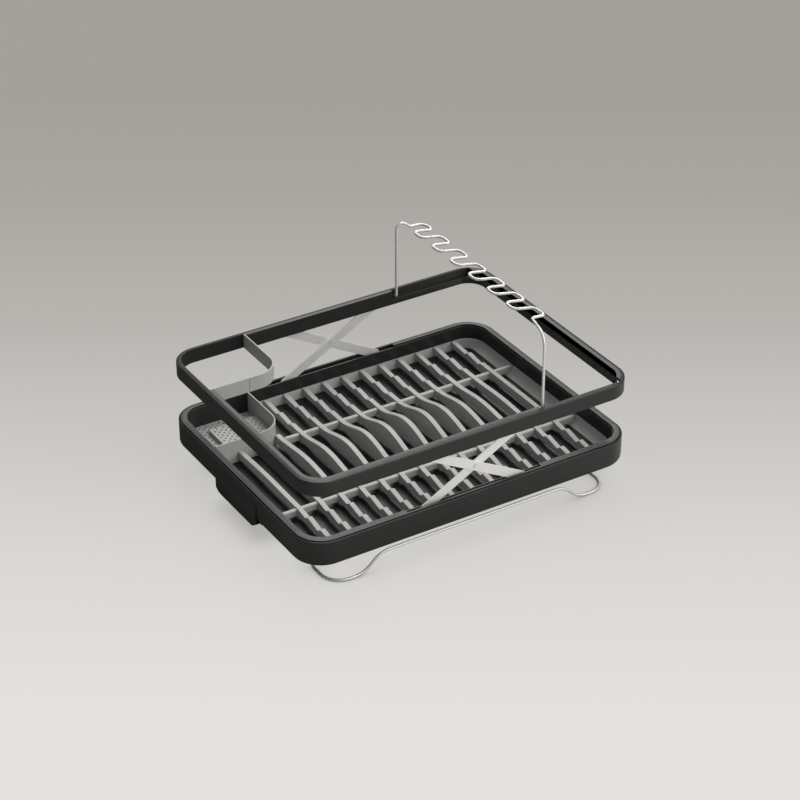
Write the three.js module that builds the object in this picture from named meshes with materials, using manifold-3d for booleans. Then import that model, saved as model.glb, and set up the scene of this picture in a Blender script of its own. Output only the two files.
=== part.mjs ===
// Countertop dish rack: a raised tray with a plate mat, a frame on scissor links and a wire glass holder.
// Millimetres, +Z up, +X along the long side. Z = 0 is the counter.
import * as THREE from "three";
import { mergeVertices } from "three/addons/utils/BufferGeometryUtils.js";
import Module from "manifold-3d";

const wasm = await Module();
wasm.setup();

// Facet counts
const cornerSteps = 7;
const filletSteps = 3;
const humpSteps = 8;
const roundSides = 16;
const holeSides = 6;
const wireSides = 8;
const frontBendSteps = 5;

// Tolerances
const weldReach = 1e-4;
const stepShare = 1e-6;

// Clearances
const seatGap = 0.3;
const pinGap = 0.15;
const cutOver = 4;
const joinOver = 0.5;

// Tray: outer shell and inner tub
const trayLength = 532;
const trayWidth = 408;
const trayCorner = 44;
const trayHeight = 42.4;
const trayRise = 37;
const shellWall = 2;
const shellFloor = 1.8;
const shellFillet = 8;
const rimBand = 10;
const rimLedgeDrop = 3;
const rimLedge = 1.5;
const rimWeb = 2;
const rimSkirt = 4;
const tubWall = 2.1;
const tubFloor = 1.8;
const tubFillet = 4;
const drainRadius = 7;
const drainFromEnd = 28;

// Raised frame
const frameInsetEnd = 2;
const frameInsetSide = 1;
const frameCorner = 40;
const frameRail = 12;
const frameHeight = 22.8;
const frameTop = 136.3;
const frameWall = 1.8;
const frameInnerWall = 1.6;
const frameWeb = 2.2;
const frameBevel = 1;
const frameCrown = 1.2;
const frameCrownWidth = 6;
const thinRail = 7;

// Scissor links
const stripWidth = 14;
const stripThick = 1.6;
const stripGap = 0.6;
const pivotFromHolder = 34;
const lowPivotHeight = 35.2;
const highPivotHeight = 121.2;
const pinRadius = 2;
const pinHeadRadius = 3;
const pinHead = 0.4;
const guideGap = 1;
const guideThick = 1.6;
const guideMargin = 1.5;
const guideBand = 8;

// Plate mat
const matWallTop = 18.7;
const matFloorGap = 0.3;
const matSideFoot = 4.2;
const matSideTop = 2.4;
const matEndFoot = 14;
const matEndTop = 1;
const matFootHeight = 6.3;
const matCurveShare = 0.35;
const finCount = 14;
const finFromEnd = 39.3;
const finWidth = 7.7;
const finTop = 21.2;
const finBottom = 9.5;
const barPlace = 83;
const barWidth = 6.5;
const barDrop = 2;
const humpRise = 18;
const humpCentre = 15;
const humpReach = 285;
const humpPeakPlace = 6;
const notchDeep = 4;
const notchShallow = 3;
const notchStart = 1.3;
const notchCrest = 1;

// Where the two notches of a fin's end stretch lie, as shares of the stretch
const backNotchShares = [0, 0.35, 0.45, 0.7, 0.8];
const frontNotchShares = [0.2, 0.29, 0.53, 0.63, 1];

// Cutlery corner
const cupLength = 110;
const cupWidth = 106.5;
const cupCorner = 35;
const cupWall = 2.2;
const cupTop = 41.2;
const plateTop = 15.4;
const plateBrimTop = 8.2;
const plateThick = 2;
const plateStepFromEnd = 30.8;
const plateStepFromBack = 25.1;
const plateHoleRadius = 1.5;
const plateHolePitch = 10.4;
const plateRowPitch = 4.8;
const plateEdge = 5;
const bandSeamFromEnd = 57.5;
const bandSeat = 4.7;

// Drain spout
const spoutHalfWidth = 61;
const spoutTop = 27.2;
const spoutBottom = -11.8;
const spoutProud = 3.8;
const spoutCorner = 13;
const spoutSheet = 2;
const troughLength = 100;
const troughHalfWidth = 52;
const troughDepth = 8;
const troughFlange = 4;
const railSheet = 2;

// The lip's outer face: how far out and how high each point lies, as shares of the lip's reach and height
const lipShares = [[0.25, 1], [0.75, 0.78], [1, 0.56], [0.8, 0.28], [0.5, 0]];

// Glass holder wire
const holderRadius = 2;
const holderFromEnd = 151;
const holderPivotDrop = 10.1;
const holderLegSetBack = 0.3;
const holderClear = 1;
const holderWireTop = 240.2;
const holderPeak = 251.5;
const pocketBefore = 7;
const pocketAfter = 1.7;
const pocketUnderPivot = 3;
const loopCount = 7;
const loopPitch = 49.2;
const loopNear = 10;
const loopFar = 43;
const loopFirst = 158.5;
const loopTilt = 10;
const loopSide = 23.5;
const loopEndIn = 8;
const loopTipRadius = 4.5;
const loopTurnRadius = 6;
const loopWideRadius = 14;
const holderBendRadius = 5;
const holderFrontRadius = 20;

// Foot wires
const footRadius = 2;
const footFlat = 0.3;
const footBarHeight = 27.5;
const footInset = 8;
const footBarFromEnd = 116;
const footSlope = 28;
const footBend = 12;
const footEndInset = 38;
const footCorner = 29;
const footReturn = 54;
const footEndBend = 8;
const socketRadius = 6;
const socketDepth = 12;

// Places that follow from the sizes above
const halfLength = trayLength / 2;
const halfWidth = trayWidth / 2;
const tubInset = shellWall + rimBand + rimLedge;
const tubHalfLength = halfLength - tubInset;
const tubHalfWidth = halfWidth - tubInset;
const tubFloorTop = shellFloor + seatGap + tubFloor;
const ledgeHeight = trayHeight - rimLedgeDrop;
const frameHalfLength = halfLength - frameInsetEnd;
const frameHalfWidth = halfWidth - frameInsetSide;
const frameBottom = frameTop - frameHeight;
const frameInnerY = frameHalfWidth - frameRail;
const frameInnerX = frameHalfLength - frameRail;
const linkWallY = Math.max(frameInnerY + frameInnerWall, tubHalfWidth + tubWall);
const innerStripY = linkWallY + stripGap;
const outerStripY = innerStripY + stripThick + stripGap;
const guideY = outerStripY + stripThick + guideGap;
const pinEndY = guideY + guideThick + seatGap;
const holderPlace = frameHalfLength - holderFromEnd;
const pivotSpread = holderPlace - pivotFromHolder;
const linkRise = highPivotHeight - lowPivotHeight;
const linkLength = Math.hypot(2 * pivotSpread, linkRise);
const foldDrop = frameBottom - trayHeight;
const foldedSpread = Math.sqrt(linkLength ** 2 - (linkRise - foldDrop) ** 2) / 2;
const slotHalf = foldedSpread * 2 - pivotSpread + stripWidth / 2 + guideMargin;
const cupX = cupLength - tubHalfLength;
const cupY = tubHalfWidth - cupWidth;
const matBottom = tubFloorTop + matFloorGap;
const finPitch = (2 * (tubHalfLength - finFromEnd)) / (finCount - 1);
const barTop = finTop - barDrop;
const barLap = (finBottom + barTop) / 2;
const footBarHalf = halfLength - footBarFromEnd;
const pocketWallY = frameHalfWidth - thinRail;
const holderPivotHeight = frameTop - holderPivotDrop;
const pocketFloor = holderPivotHeight - pocketUnderPivot;
const holderLegY = frameInnerY + holderLegSetBack;
const pocketStart = holderPlace - pocketBefore;
const pocketEnd = holderPlace + holderPeak - holderPivotHeight + holderRadius + pocketAfter;

// Materials
const blackPlastic = { color: 0x2c2c2c, roughness: 0.55, metalness: 0 };
const greyPlastic = { color: 0x9c9c9a, roughness: 0.6, metalness: 0 };
const steel = { color: 0xd2d0cb, roughness: 0.28, metalness: 1 };

const rack = new THREE.Group();
const tray = new THREE.Group();
tray.position.z = trayRise;
rack.add(tray);

// Solids and geometries

// A closed geometry as a manifold solid.
function solid(geometry) {
  const bare = geometry.clone();
  bare.deleteAttribute("normal");
  bare.deleteAttribute("uv");
  const merged = mergeVertices(bare, weldReach);
  return new wasm.Manifold(
    new wasm.Mesh({
      numProp: 3,
      vertProperties: new Float32Array(merged.attributes.position.array),
      triVerts: new Uint32Array(merged.index.array),
    }),
  );
}

// A manifold solid as a geometry with normals.
function geometryOf(shape) {
  const mesh = shape.getMesh();
  const geometry = new THREE.BufferGeometry();
  const positions = new Float32Array(mesh.numVert * 3);
  for (let i = 0; i < mesh.numVert; i++) {
    positions.set(mesh.vertProperties.subarray(i * mesh.numProp, i * mesh.numProp + 3), i * 3);
  }
  geometry.setAttribute("position", new THREE.BufferAttribute(positions, 3));
  geometry.setIndex(new THREE.BufferAttribute(mesh.triVerts, 1));
  geometry.computeVertexNormals();
  return geometry;
}

// Adds a solid or geometry to a group as one named mesh.
function addMesh(group, name, shape, look) {
  const geometry = shape.isBufferGeometry ? shape : geometryOf(shape);
  const mesh = new THREE.Mesh(geometry, new THREE.MeshStandardMaterial(look));
  mesh.name = name;
  group.add(mesh);
  return mesh;
}

// A box between two corners.
function box(x0, x1, y0, y1, z0, z1) {
  const geometry = new THREE.BoxGeometry(Math.abs(x1 - x0), Math.abs(y1 - y0), Math.abs(z1 - z0));
  geometry.translate((x0 + x1) / 2, (y0 + y1) / 2, (z0 + z1) / 2);
  return solid(geometry);
}

// A cylinder along Y between two places.
function rodAlongY(radius, x, z, y0, y1, sides = roundSides) {
  const geometry = new THREE.CylinderGeometry(radius, radius, Math.abs(y1 - y0), sides);
  geometry.translate(x, (y0 + y1) / 2, z);
  return solid(geometry);
}

// A cylinder along Z between two heights.
function rodAlongZ(radius, x, y, z0, z1, sides = roundSides) {
  const geometry = new THREE.CylinderGeometry(radius, radius, Math.abs(z1 - z0), sides);
  geometry.rotateX(Math.PI / 2);
  geometry.translate(x, y, (z0 + z1) / 2);
  return solid(geometry);
}

// The plan outline of a rectangle with round corners, anticlockwise.
function roundedOutline(halfX, halfY, radius) {
  const points = [];
  const centres = [[1, 1], [-1, 1], [-1, -1], [1, -1]];
  centres.forEach(([signX, signY], corner) => {
    for (let i = 0; i <= cornerSteps; i++) {
      const angle = (corner + i / cornerSteps) * (Math.PI / 2);
      points.push([
        signX * (halfX - radius) + radius * Math.cos(angle),
        signY * (halfY - radius) + radius * Math.sin(angle),
      ]);
    }
  });
  return points;
}

// A closed block through rounded rectangles at rising heights. Each section is [halfX, halfY, radius, z].
function roundedBlock(sections) {
  const rings = sections.map(([halfX, halfY, radius, z]) =>
    roundedOutline(halfX, halfY, radius).map(([x, y]) => [x, y, z]),
  );
  const count = rings[0].length;
  const positions = rings.flat();
  const faces = [];
  for (let level = 0; level + 1 < rings.length; level++) {
    for (let i = 0; i < count; i++) {
      const next = (i + 1) % count;
      const low = level * count;
      const high = low + count;
      faces.push(low + i, low + next, high + next, low + i, high + next, high + i);
    }
  }
  const top = (rings.length - 1) * count;
  for (let i = 1; i + 1 < count; i++) {
    faces.push(0, i + 1, i);
    faces.push(top, top + i, top + i + 1);
  }
  const geometry = new THREE.BufferGeometry();
  geometry.setAttribute("position", new THREE.Float32BufferAttribute(positions.flat(), 3));
  geometry.setIndex(faces);
  return solid(geometry);
}

// A block that follows the tray's or frame's outline, set in by an amount, from one height to another.
function insetBlock(halfX, halfY, corner, inset, z0, z1) {
  const at = (z) => [halfX - inset, halfY - inset, corner - inset, z];
  return roundedBlock([at(z0), at(z1)]);
}

// The same with a round bottom edge.
function filletBlock(halfX, halfY, corner, inset, fillet, z0, z1) {
  const sections = [];
  for (let i = 0; i <= filletSteps; i++) {
    const angle = (i / filletSteps) * (Math.PI / 2);
    const step = inset + fillet * (1 - Math.sin(angle));
    sections.push([halfX - step, halfY - step, corner - step, z0 + fillet * (1 - Math.cos(angle))]);
  }
  sections.push([halfX - inset, halfY - inset, corner - inset, z1]);
  return roundedBlock(sections);
}

// A polygon in the YZ plane extruded along X, centred on x.
function prismAlongX(points, x, width) {
  const geometry = new THREE.ExtrudeGeometry(
    new THREE.Shape(points.map(([y, z]) => new THREE.Vector2(y, z))),
    { depth: width, bevelEnabled: false },
  );
  const turn = new THREE.Matrix4().makeBasis(
    new THREE.Vector3(0, 1, 0),
    new THREE.Vector3(0, 0, 1),
    new THREE.Vector3(1, 0, 0),
  );
  geometry.applyMatrix4(turn);
  geometry.translate(x - width / 2, 0, 0);
  return solid(geometry);
}

// A polygon in the XZ plane extruded along Y, centred on y.
function prismAlongY(points, y, width) {
  const geometry = new THREE.ExtrudeGeometry(
    new THREE.Shape(points.map(([x, z]) => new THREE.Vector2(x, z))),
    { depth: width, bevelEnabled: false },
  );
  geometry.rotateX(Math.PI / 2);
  geometry.translate(0, y + width / 2, 0);
  return solid(geometry);
}

// A plan outline extruded up Z.
function prismAlongZ(points, z0, z1) {
  const geometry = new THREE.ExtrudeGeometry(
    new THREE.Shape(points.map(([x, y]) => new THREE.Vector2(x, y))),
    { depth: z1 - z0, bevelEnabled: false },
  );
  geometry.translate(0, 0, z0);
  return solid(geometry);
}

// A curve through a list of stations, which keeps the stations as its sampling steps.
class StationCurve extends THREE.Curve {
  constructor(stations) {
    super();
    this.stations = stations;
  }

  getPoint(share, target = new THREE.Vector3()) {
    const place = share * (this.stations.length - 1);
    const index = Math.min(Math.floor(place + stepShare), this.stations.length - 2);
    return target.lerpVectors(this.stations[index], this.stations[index + 1], place - index);
  }

  getPointAt(share, target) {
    return this.getPoint(share, target);
  }

  getTangent(share, target = new THREE.Vector3()) {
    const last = this.stations.length - 1;
    const index = Math.round(share * last);
    const before = this.stations[Math.max(index - 1, 0)];
    const here = this.stations[index];
    const after = this.stations[Math.min(index + 1, last)];
    const arrive = here.clone().sub(before).normalize();
    const leave = after.clone().sub(here).normalize();
    return target.addVectors(arrive, leave).normalize();
  }

  getTangentAt(share, target) {
    return this.getTangent(share, target);
  }
}

// Stations along straight runs with round bends. Each corner is [x, y, z, bend radius, bend steps].
function bentStations(corners) {
  const points = corners.map(([x, y, z]) => new THREE.Vector3(x, y, z));
  const stations = [points[0]];
  for (let i = 1; i + 1 < points.length; i++) {
    const [, , , radius, steps] = corners[i];
    const back = points[i - 1].clone().sub(points[i]).normalize();
    const on = points[i + 1].clone().sub(points[i]).normalize();
    const halfAngle = back.angleTo(on) / 2;
    const middle = back.clone().add(on).normalize();
    const centre = points[i].clone().addScaledVector(middle, radius / Math.sin(halfAngle));
    const start = points[i].clone().addScaledVector(back, radius / Math.tan(halfAngle)).sub(centre);
    const turn = Math.PI - 2 * halfAngle;
    const axis = back.clone().cross(start).normalize();
    for (let step = 0; step <= steps; step++) {
      stations.push(start.clone().applyAxisAngle(axis, (turn * step) / steps).add(centre));
    }
  }
  stations.push(points[points.length - 1]);
  return stations;
}

// A round wire along bent stations.
function wire(corners, radius) {
  const stations = bentStations(corners);
  const section = new THREE.Shape();
  for (let i = 0; i < wireSides; i++) {
    const angle = ((i + 1 / 2) / wireSides) * 2 * Math.PI;
    const place = [radius * Math.cos(angle), radius * Math.sin(angle)];
    if (i === 0) section.moveTo(...place);
    else section.lineTo(...place);
  }
  return new THREE.ExtrudeGeometry(section, {
    steps: stations.length - 1,
    extrudePath: new StationCurve(stations),
    bevelEnabled: false,
  });
}

// Tray

// Blind socket under the tray that takes the end of a foot wire.
function socketPlaces() {
  const places = [];
  for (const signX of [-1, 1]) {
    for (const signY of [-1, 1]) {
      places.push([
        signX * (halfLength - footEndInset),
        signY * (halfWidth - footInset - footReturn),
      ]);
    }
  }
  return places;
}

function makeOuterShell() {
  const outline = [halfLength, halfWidth, trayCorner];
  let shell = filletBlock(...outline, 0, shellFillet, 0, ledgeHeight);
  const inside = filletBlock(
    ...outline, shellWall, shellFillet - shellWall, shellFloor, ledgeHeight + cutOver,
  );
  shell = shell.subtract(inside);
  for (const [x, y] of socketPlaces()) {
    const boss = rodAlongZ(socketRadius, x, y, -socketDepth, shellFloor / 2);
    const bore = rodAlongZ(footRadius + pinGap, x, y, -socketDepth - cutOver, -seatGap);
    shell = shell.add(boss).subtract(bore);
  }
  const drain = rodAlongZ(drainRadius, drainFromEnd - halfLength, 0, -cutOver, shellFloor + cutOver);
  return shell.subtract(drain);
}

// Rib in the hollow of a side, with a round hole for the fixed pin and a slot for the sliding pin.
function guideRib(side, pivotHeight, z0, z1) {
  const y0 = side * guideY;
  const y1 = side * (guideY + guideThick);
  const rib = box(-slotHalf, slotHalf, y0, y1, z0, z1);
  const reach0 = side * (guideY - cutOver);
  const reach1 = side * (guideY + guideThick + cutOver);
  const hole = rodAlongY(pinRadius + pinGap, pivotSpread, pivotHeight, reach0, reach1);
  const slideEnd = 2 * foldedSpread - pivotSpread;
  const near = rodAlongY(pinRadius + pinGap, -pivotSpread, pivotHeight, reach0, reach1);
  const far = rodAlongY(pinRadius + pinGap, -slideEnd, pivotHeight, reach0, reach1);
  const slide = box(
    -slideEnd, -pivotSpread, reach0, reach1,
    pivotHeight - pinRadius - pinGap, pivotHeight + pinRadius + pinGap,
  );
  return rib.subtract(hole).subtract(near).subtract(far).subtract(slide);
}

function makeInnerTub() {
  const outline = [halfLength, halfWidth, trayCorner];
  const rimInset = shellWall + seatGap;
  const rim = insetBlock(...outline, rimInset, trayHeight - rimSkirt, trayHeight);
  const rimHollow = insetBlock(
    ...outline, rimInset + rimWeb, trayHeight - rimSkirt - cutOver, trayHeight - rimWeb,
  );
  const bowl = filletBlock(
    ...outline, tubInset - tubWall, shellFillet, shellFloor + seatGap, trayHeight,
  );
  const inside = filletBlock(...outline, tubInset, tubFillet, tubFloorTop, trayHeight + cutOver);
  const ledge = insetBlock(...outline, tubInset - rimLedge, ledgeHeight, trayHeight + cutOver);
  let tub = rim.subtract(rimHollow).add(bowl).subtract(inside).subtract(ledge);
  for (const side of [-1, 1]) {
    const slotInside = side * (halfWidth - shellWall - rimBand - joinOver);
    tub = tub.subtract(
      box(-slotHalf, slotHalf, slotInside, side * guideY, ledgeHeight, trayHeight + cutOver),
    );
    tub = tub.add(
      guideRib(side, lowPivotHeight, lowPivotHeight - guideBand, trayHeight - rimWeb / 2),
    );
  }
  const drain = rodAlongZ(drainRadius, drainFromEnd - halfLength, 0, 0, tubFloorTop + cutOver);
  return tub.subtract(drain);
}

// Raised frame

function makeUpperFrame() {
  const outline = [frameHalfLength, frameHalfWidth, frameCorner];
  const sections = [
    [0, frameBottom],
    [0, frameTop - frameCrown - frameBevel],
    [frameBevel, frameTop - frameCrown],
    [frameCrownWidth, frameTop],
  ];
  const block = roundedBlock(
    sections.map(([inset, z]) => [
      frameHalfLength - inset, frameHalfWidth - inset, frameCorner - inset, z,
    ]),
  );
  const z0 = frameBottom - cutOver;
  const z1 = frameTop + cutOver;
  const under = frameTop - frameWeb;

  // Plain rail: a channel open below, round a rectangular opening
  const opening = insetBlock(...outline, frameRail, z0, z1);
  const channelOut = insetBlock(...outline, frameWall, z0, under);
  const channelIn = insetBlock(...outline, frameRail - frameInnerWall, z0 - cutOver, z1);
  let frame = block.subtract(opening).subtract(channelOut.subtract(channelIn));

  // Thinner rail behind the cutlery band, in the corner at the back left
  const cornerEndX = cupX + bandSetOut();
  const cornerEndY = cupY - bandSetOut();
  const region = box(
    -frameHalfLength - cutOver, cornerEndX, cornerEndY, frameHalfWidth + cutOver, z0, z1,
  );
  const thinOpening = insetBlock(...outline, thinRail, z0, z1);
  const thinChannel = insetBlock(...outline, frameWall, z0, under).subtract(
    insetBlock(...outline, thinRail - frameInnerWall, z0 - cutOver, z1),
  );
  const thin = block.intersect(region).subtract(thinOpening).subtract(thinChannel);
  const fillIn = box(
    cornerEndX, cornerEndX + frameInnerWall, frameInnerY, frameHalfWidth - frameWall / 2,
    frameBottom, under + joinOver,
  );
  const fillFront = box(
    frameWall / 2 - frameHalfLength, -frameInnerX, cornerEndY - frameInnerWall, cornerEndY,
    frameBottom, under + joinOver,
  );
  frame = frame.subtract(region).add(thin).add(fillIn).add(fillFront);

  // Pockets that the glass holder folds into, and the ribs that guide the links
  for (const side of [-1, 1]) {
    const pocketBody = box(
      pocketStart - frameInnerWall, pocketEnd + frameInnerWall,
      side * frameInnerY, side * (pocketWallY + frameInnerWall),
      pocketFloor - frameInnerWall, under + joinOver,
    );
    const pocket = box(
      pocketStart, pocketEnd, side * (frameInnerY - frameRail), side * pocketWallY,
      pocketFloor, z1,
    );
    const bore = rodAlongY(
      holderRadius + pinGap, holderPlace, holderPivotHeight,
      side * (frameInnerY - cutOver), side * (pocketWallY + frameInnerWall + cutOver / 2),
    );
    frame = frame.add(pocketBody).subtract(pocket).subtract(bore);
    frame = frame.add(guideRib(side, highPivotHeight, frameBottom, under + joinOver));
  }
  return frame;
}

// Links

// A flat strip with round ends and three holes, drawn along X about its middle.
function stripSolid() {
  const half = linkLength / 2;
  const radius = stripWidth / 2;
  const shape = new THREE.Shape();
  shape.absarc(half, 0, radius, -Math.PI / 2, Math.PI / 2, false);
  shape.absarc(-half, 0, radius, Math.PI / 2, (3 * Math.PI) / 2, false);
  for (const x of [-half, 0, half]) {
    const hole = new THREE.Path();
    hole.absarc(x, 0, pinRadius + pinGap, 0, 2 * Math.PI, true);
    shape.holes.push(hole);
  }
  const geometry = new THREE.ExtrudeGeometry(shape, {
    depth: stripThick,
    bevelEnabled: false,
    curveSegments: roundSides / 2,
  });
  geometry.translate(0, 0, -stripThick / 2);
  geometry.rotateX(Math.PI / 2);
  return geometry;
}

// A pin with a flat head at each end, from one place to another along Y.
function pinSolid(x, z, side, headY, tailY, radius, headRadius) {
  return rodAlongY(radius, x, z, side * headY, side * tailY)
    .add(rodAlongY(headRadius, x, z, side * (headY - pinHead), side * headY))
    .add(rodAlongY(headRadius, x, z, side * tailY, side * (tailY + pinHead)));
}

// One scissor pair. The outer strip leans from the tray at +X up to -X, the inner one the other way.
function addLinks(side, place) {
  const middle = (lowPivotHeight + highPivotHeight) / 2;
  const lean = Math.atan2(linkRise, 2 * pivotSpread);
  const strips = [
    ["outer", outerStripY, 1, -pivotSpread, pivotSpread],
    ["inner", innerStripY, -1, pivotSpread, -pivotSpread],
  ];
  for (const [layer, y, sign, highX, lowX] of strips) {
    const strip = addMesh(tray, `link_${place}_${layer}`, stripSolid(), steel);
    strip.position.set(0, side * (y + stripThick / 2), middle);
    strip.rotation.y = sign * lean;
    const head = y - seatGap / 2;
    addMesh(
      tray, `pin_${place}_${layer}_frame`,
      pinSolid(highX, highPivotHeight, side, head, pinEndY, pinRadius, pinHeadRadius), steel,
    );
    addMesh(
      tray, `pin_${place}_${layer}_tray`,
      pinSolid(lowX, lowPivotHeight, side, head, pinEndY, pinRadius, pinHeadRadius), steel,
    );
  }
  addMesh(
    tray, `rivet_${place}`,
    pinSolid(
      0, middle, side, innerStripY - pinGap / 2, outerStripY + stripThick + pinGap / 2,
      pinRadius, pinHeadRadius,
    ),
    steel,
  );
}

// Plate mat

// Height added to a fin's middle stretch: highest near the middle of the mat, falling to both ends.
function humpHeight(x) {
  return humpRise * Math.cos((Math.PI / 2) * ((x - humpCentre) / humpReach)) ** 2;
}

// The top of a fin between the bars, as points from the back bar to the front bar.
function humpPoints(x, backY, frontY) {
  const points = [];
  const rise = humpHeight(x);
  for (let i = 0; i <= humpSteps * 2; i++) {
    const share = i / (humpSteps * 2);
    const y = backY + (frontY - backY) * share;
    const reach = y > humpPeakPlace ? backY - humpPeakPlace : humpPeakPlace - frontY;
    const swell = Math.cos((Math.PI / 2) * (Math.abs(y - humpPeakPlace) / reach)) ** 2;
    points.push([y, finTop + rise * swell]);
  }
  return points;
}

// The notched top of a fin's end stretch, from one place to another. Each drop is from the fin's top.
function notchPoints(start, end, shares, drops) {
  return shares.map((share, i) => [start + (end - start) * share, finTop - drops[i]]);
}

function finSolid(x, backEnd) {
  const frontEnd = -(tubHalfWidth - matSideFoot - seatGap);
  const barClear = barWidth / 2 + seatGap;
  const points = [[backEnd, finBottom]];
  const throughBackBar = backEnd > barPlace;
  if (throughBackBar) {
    const drops = [notchStart, notchDeep, 0, notchShallow, 0];
    points.push(...notchPoints(backEnd, barPlace + barClear, backNotchShares, drops));
    points.push([barPlace + barClear, finTop]);
  }
  const humpBack = throughBackBar ? barPlace - barClear : backEnd;
  points.push(...humpPoints(x, humpBack, barClear - barPlace));
  points.push([-barClear - barPlace, finTop]);
  const drops = [notchShallow, -notchCrest, notchDeep, -notchCrest, notchDeep];
  points.push(...notchPoints(-barClear - barPlace, frontEnd, frontNotchShares, drops));
  points.push([frontEnd, finBottom]);
  let fin = prismAlongX(points, x, finWidth);
  for (const place of [-barPlace, barPlace]) {
    const notch = box(
      x - finWidth, x + finWidth, place - barClear, place + barClear, 0, barLap + seatGap / 2,
    );
    fin = fin.subtract(notch);
  }
  return fin;
}

function finPlaces() {
  const places = [];
  for (let i = 0; i < finCount; i++) places.push((i - (finCount - 1) / 2) * finPitch);
  return places;
}

function addFins() {
  finPlaces().forEach((x, i) => {
    const beforeCup = x - finWidth / 2 < cupX + cupWall / 2 + seatGap;
    const backEnd = beforeCup
      ? cupY - cupWall / 2 - seatGap
      : tubHalfWidth - matSideFoot - seatGap;
    addMesh(tray, `mat_fin_${String(i + 1).padStart(2, "0")}`, finSolid(x, backEnd), greyPlastic);
  });
}

function makeMatFrame() {
  const corner = trayCorner - tubInset;
  const outX = tubHalfLength - seatGap;
  const outY = tubHalfWidth - seatGap;
  const block = filletBlock(outX, outY, corner - seatGap, 0, tubFillet, matBottom, matWallTop);
  const footX = tubHalfLength - matEndFoot;
  const footY = tubHalfWidth - matSideFoot;
  const topX = tubHalfLength - matEndTop;
  const topY = tubHalfWidth - matSideTop;
  const rise = matWallTop - matFootHeight;
  const section = (share, heightShare) => [
    footX + (topX - footX) * share,
    footY + (topY - footY) * share,
    corner - matEndTop - (matEndFoot - matEndTop) * (1 - share),
    matFootHeight + rise * heightShare,
  ];
  const hollow = roundedBlock([
    [footX, footY, corner - matEndFoot, matBottom - cutOver],
    section(0, 0),
    section(1 / 2, matCurveShare),
    section(1, 1),
    [topX, topY, corner - matEndTop, matWallTop + cutOver],
  ]);
  const walls = block.subtract(hollow);
  const barEnd = outX - matEndTop;
  const cupFace = cupX + cupWall / 2 + seatGap;
  const bar = (x0, place) => {
    let strip = box(x0, barEnd, place - barWidth / 2, place + barWidth / 2, finBottom, barTop);
    for (const x of finPlaces()) {
      const clear = finWidth / 2 + seatGap;
      const lap = box(
        x - clear, x + clear, place - barWidth, place + barWidth, barLap - seatGap / 2, trayHeight,
      );
      strip = strip.subtract(lap);
    }
    return strip;
  };
  const cupRegion = box(
    -halfLength, cupFace, cupY - cupWall / 2 - seatGap, halfWidth, 0, trayHeight,
  );
  return walls.subtract(cupRegion).add(bar(-barEnd, -barPlace)).add(bar(cupFace, barPlace));
}

// Cutlery corner

// Plan outline of the curved wall: straight from the back, round the corner, straight to its left end.
function cornerWall(backY, leftX, half) {
  const centreX = cupX - cupCorner;
  const centreY = cupY + cupCorner;
  const arc = (radius) => {
    const points = [];
    for (let i = 0; i <= cornerSteps * 2; i++) {
      const angle = -(i / (cornerSteps * 2)) * (Math.PI / 2);
      points.push([centreX + radius * Math.cos(angle), centreY + radius * Math.sin(angle)]);
    }
    return points;
  };
  return [
    [cupX - half, backY],
    ...arc(cupCorner - half),
    [leftX, cupY + half],
    [leftX, cupY - half],
    ...arc(cupCorner + half).reverse(),
    [cupX + half, backY],
  ];
}

// How far the cutlery band's faces lie from its middle line, with the gap to the frame's recess.
function bandSetOut() {
  return cupWall / 2 + seatGap;
}

function makeCupWall() {
  const outline = cornerWall(tubHalfWidth - seatGap, seatGap - tubHalfLength, cupWall / 2);
  const wall = prismAlongZ(outline, matBottom, cupTop);
  const corner = trayCorner - tubInset;
  const inside = filletBlock(
    tubHalfLength - seatGap, tubHalfWidth - seatGap, corner - seatGap, 0, tubFillet,
    matBottom, trayHeight,
  );
  return wall.intersect(inside);
}

// Plan outline of the space inside the cutlery cup, set in from the cup's wall.
function cupOutline(inset) {
  const half = cupWall / 2 + seatGap + inset;
  const points = [[cupX - half, halfWidth], [-halfLength, halfWidth], [-halfLength, cupY + half]];
  for (let i = 0; i <= cornerSteps; i++) {
    const angle = (i / cornerSteps - 1) * (Math.PI / 2);
    points.push([
      cupX - cupCorner + (cupCorner - half) * Math.cos(angle),
      cupY + cupCorner + (cupCorner - half) * Math.sin(angle),
    ]);
  }
  return points;
}

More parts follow.
